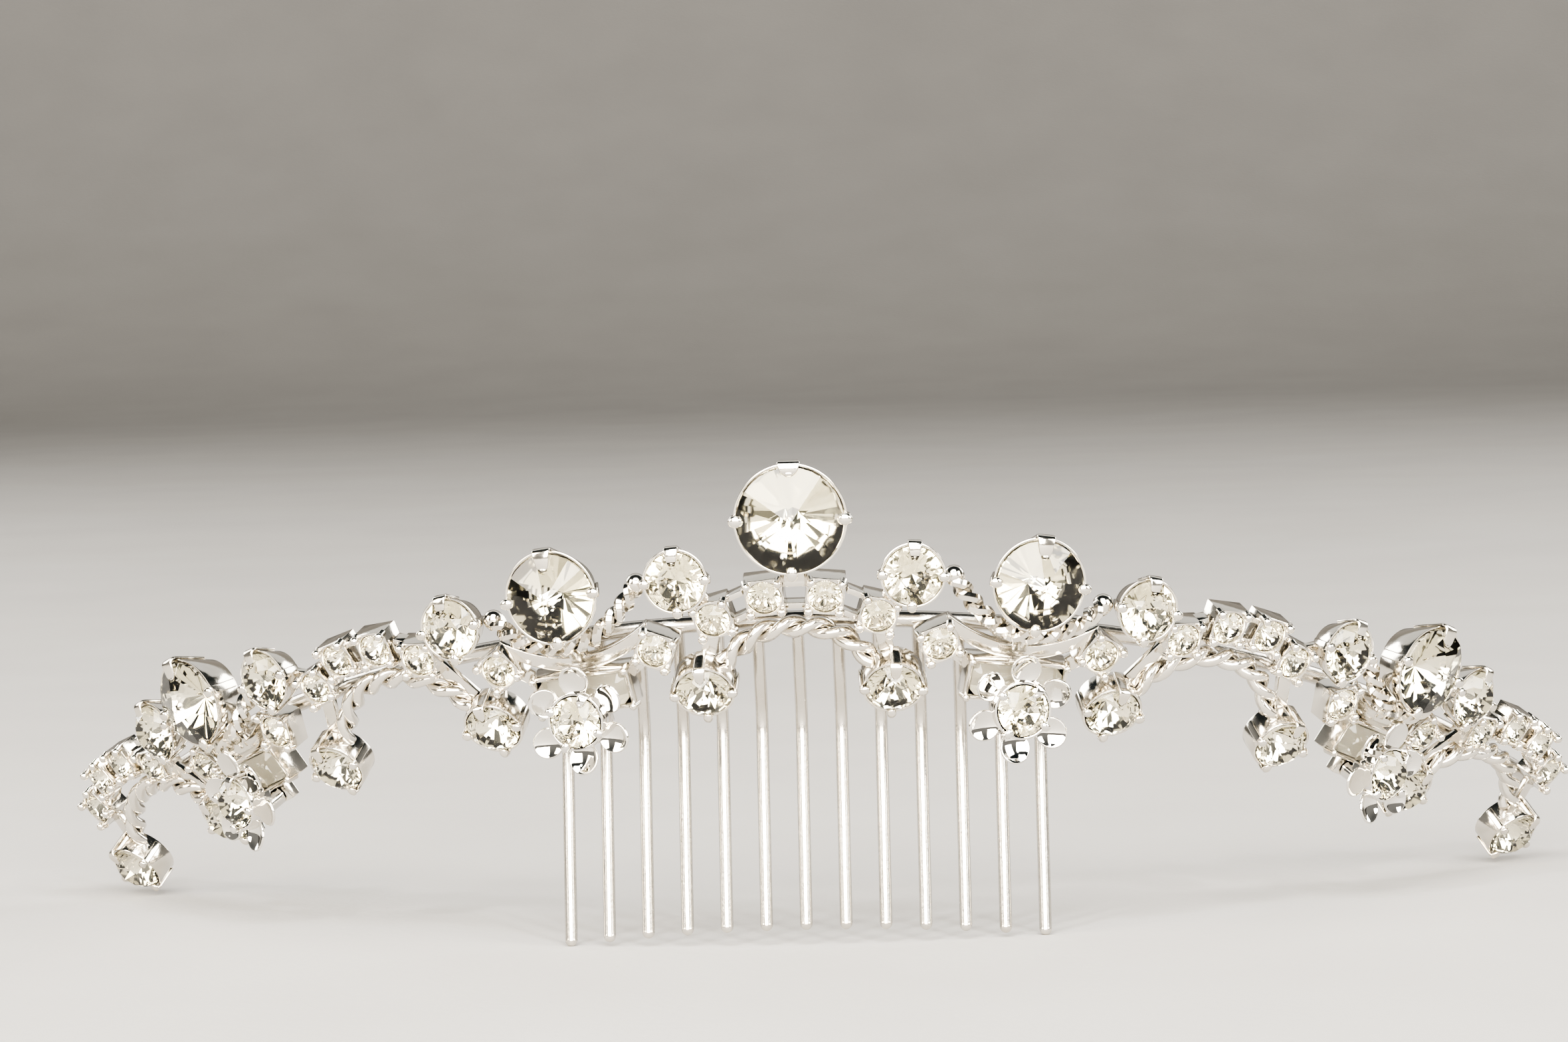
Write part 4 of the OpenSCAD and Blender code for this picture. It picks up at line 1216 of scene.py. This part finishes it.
# The room is dim: darkest overhead, lighter near the level of the table.
world = bpy.data.worlds.new("studio_room")
bpy.context.scene.world = world
world.use_nodes = True
room = world.node_tree
look = add_node(room, "ShaderNodeTexCoord")
height = add_node(
    room, "ShaderNodeSeparateXYZ", links={"Vector": look.outputs["Generated"]},
)
shade = add_node(
    room, "ShaderNodeMapRange", {"From Min": 0.2, "From Max": 0.7}, {"Value": height.outputs["Z"]},
)
wall = add_node(
    room, "ShaderNodeMix", {"data_type": "RGBA", 6: linear("#BAB8B4"), 7: linear("#3C4346")},
    {"Factor": shade.outputs["Result"]},
)
back = room.nodes["Background"]
room.links.new(wall.outputs[2], back.inputs["Color"])
back.inputs["Strength"].default_value = ROOM_LIGHT


# Camera. It looks from where the photo was taken: 418 mm from the front of
# the band and 19.6 degrees below its plane. The photo is cropped a little,
# so its middle lies above and left of the band.
CAMERA_REACH = 418.2
PITCH, YAW, ROLL = math.radians(-19.611), math.radians(-2.347), math.radians(-0.720)
FRAME_PIXELS = 2360
FOCAL_PIXELS = 7904.0
CROP_UP_PIXELS = 137.2
CROP_LEFT_PIXELS = 18.46
SENSOR_WIDTH = 36


def view_turn():
    """Rows are the camera's right, ahead and up, in the band's own axes"""
    cy, sy = math.cos(YAW), math.sin(YAW)
    cp, sp = math.cos(PITCH), math.sin(PITCH)
    cr, sr = math.cos(ROLL), math.sin(ROLL)
    yaw = Matrix(((cy, -sy, 0), (sy, cy, 0), (0, 0, 1)))
    pitch = Matrix(((1, 0, 0), (0, cp, -sp), (0, sp, cp)))
    roll = Matrix(((cr, 0, sr), (0, 1, 0), (-sr, 0, cr)))
    return roll @ pitch @ yaw


band_view = view_turn()
eye = TO_TABLE @ (band_view.transposed() @ Vector((0, -CAMERA_REACH, 0)))
tilt = Matrix.Rotation(math.radians(-REST_TILT), 3, "X")
right, ahead, above = (tilt @ Vector(row) for row in band_view)
ahead += above * (CROP_UP_PIXELS / FOCAL_PIXELS) - right * (CROP_LEFT_PIXELS / FOCAL_PIXELS)
ahead.normalize()
right = (right - ahead * right.dot(ahead)).normalized()
above = right.cross(ahead)
clear_pick()
bpy.ops.object.camera_add()
camera = bpy.context.object
camera.name = "camera"
camera.matrix_world = Matrix((
    (right.x, above.x, -ahead.x, eye.x),
    (right.y, above.y, -ahead.y, eye.y),
    (right.z, above.z, -ahead.z, eye.z),
    (0, 0, 0, 1),
))
camera.data.sensor_width = SENSOR_WIDTH
camera.data.lens = FOCAL_PIXELS / FRAME_PIXELS * SENSOR_WIDTH
camera.data.clip_start = 0.01
bpy.context.scene.camera = camera
bpy.context.scene.view_settings.view_transform = "AgX"
bpy.context.scene.view_settings.look = "AgX - High Contrast"
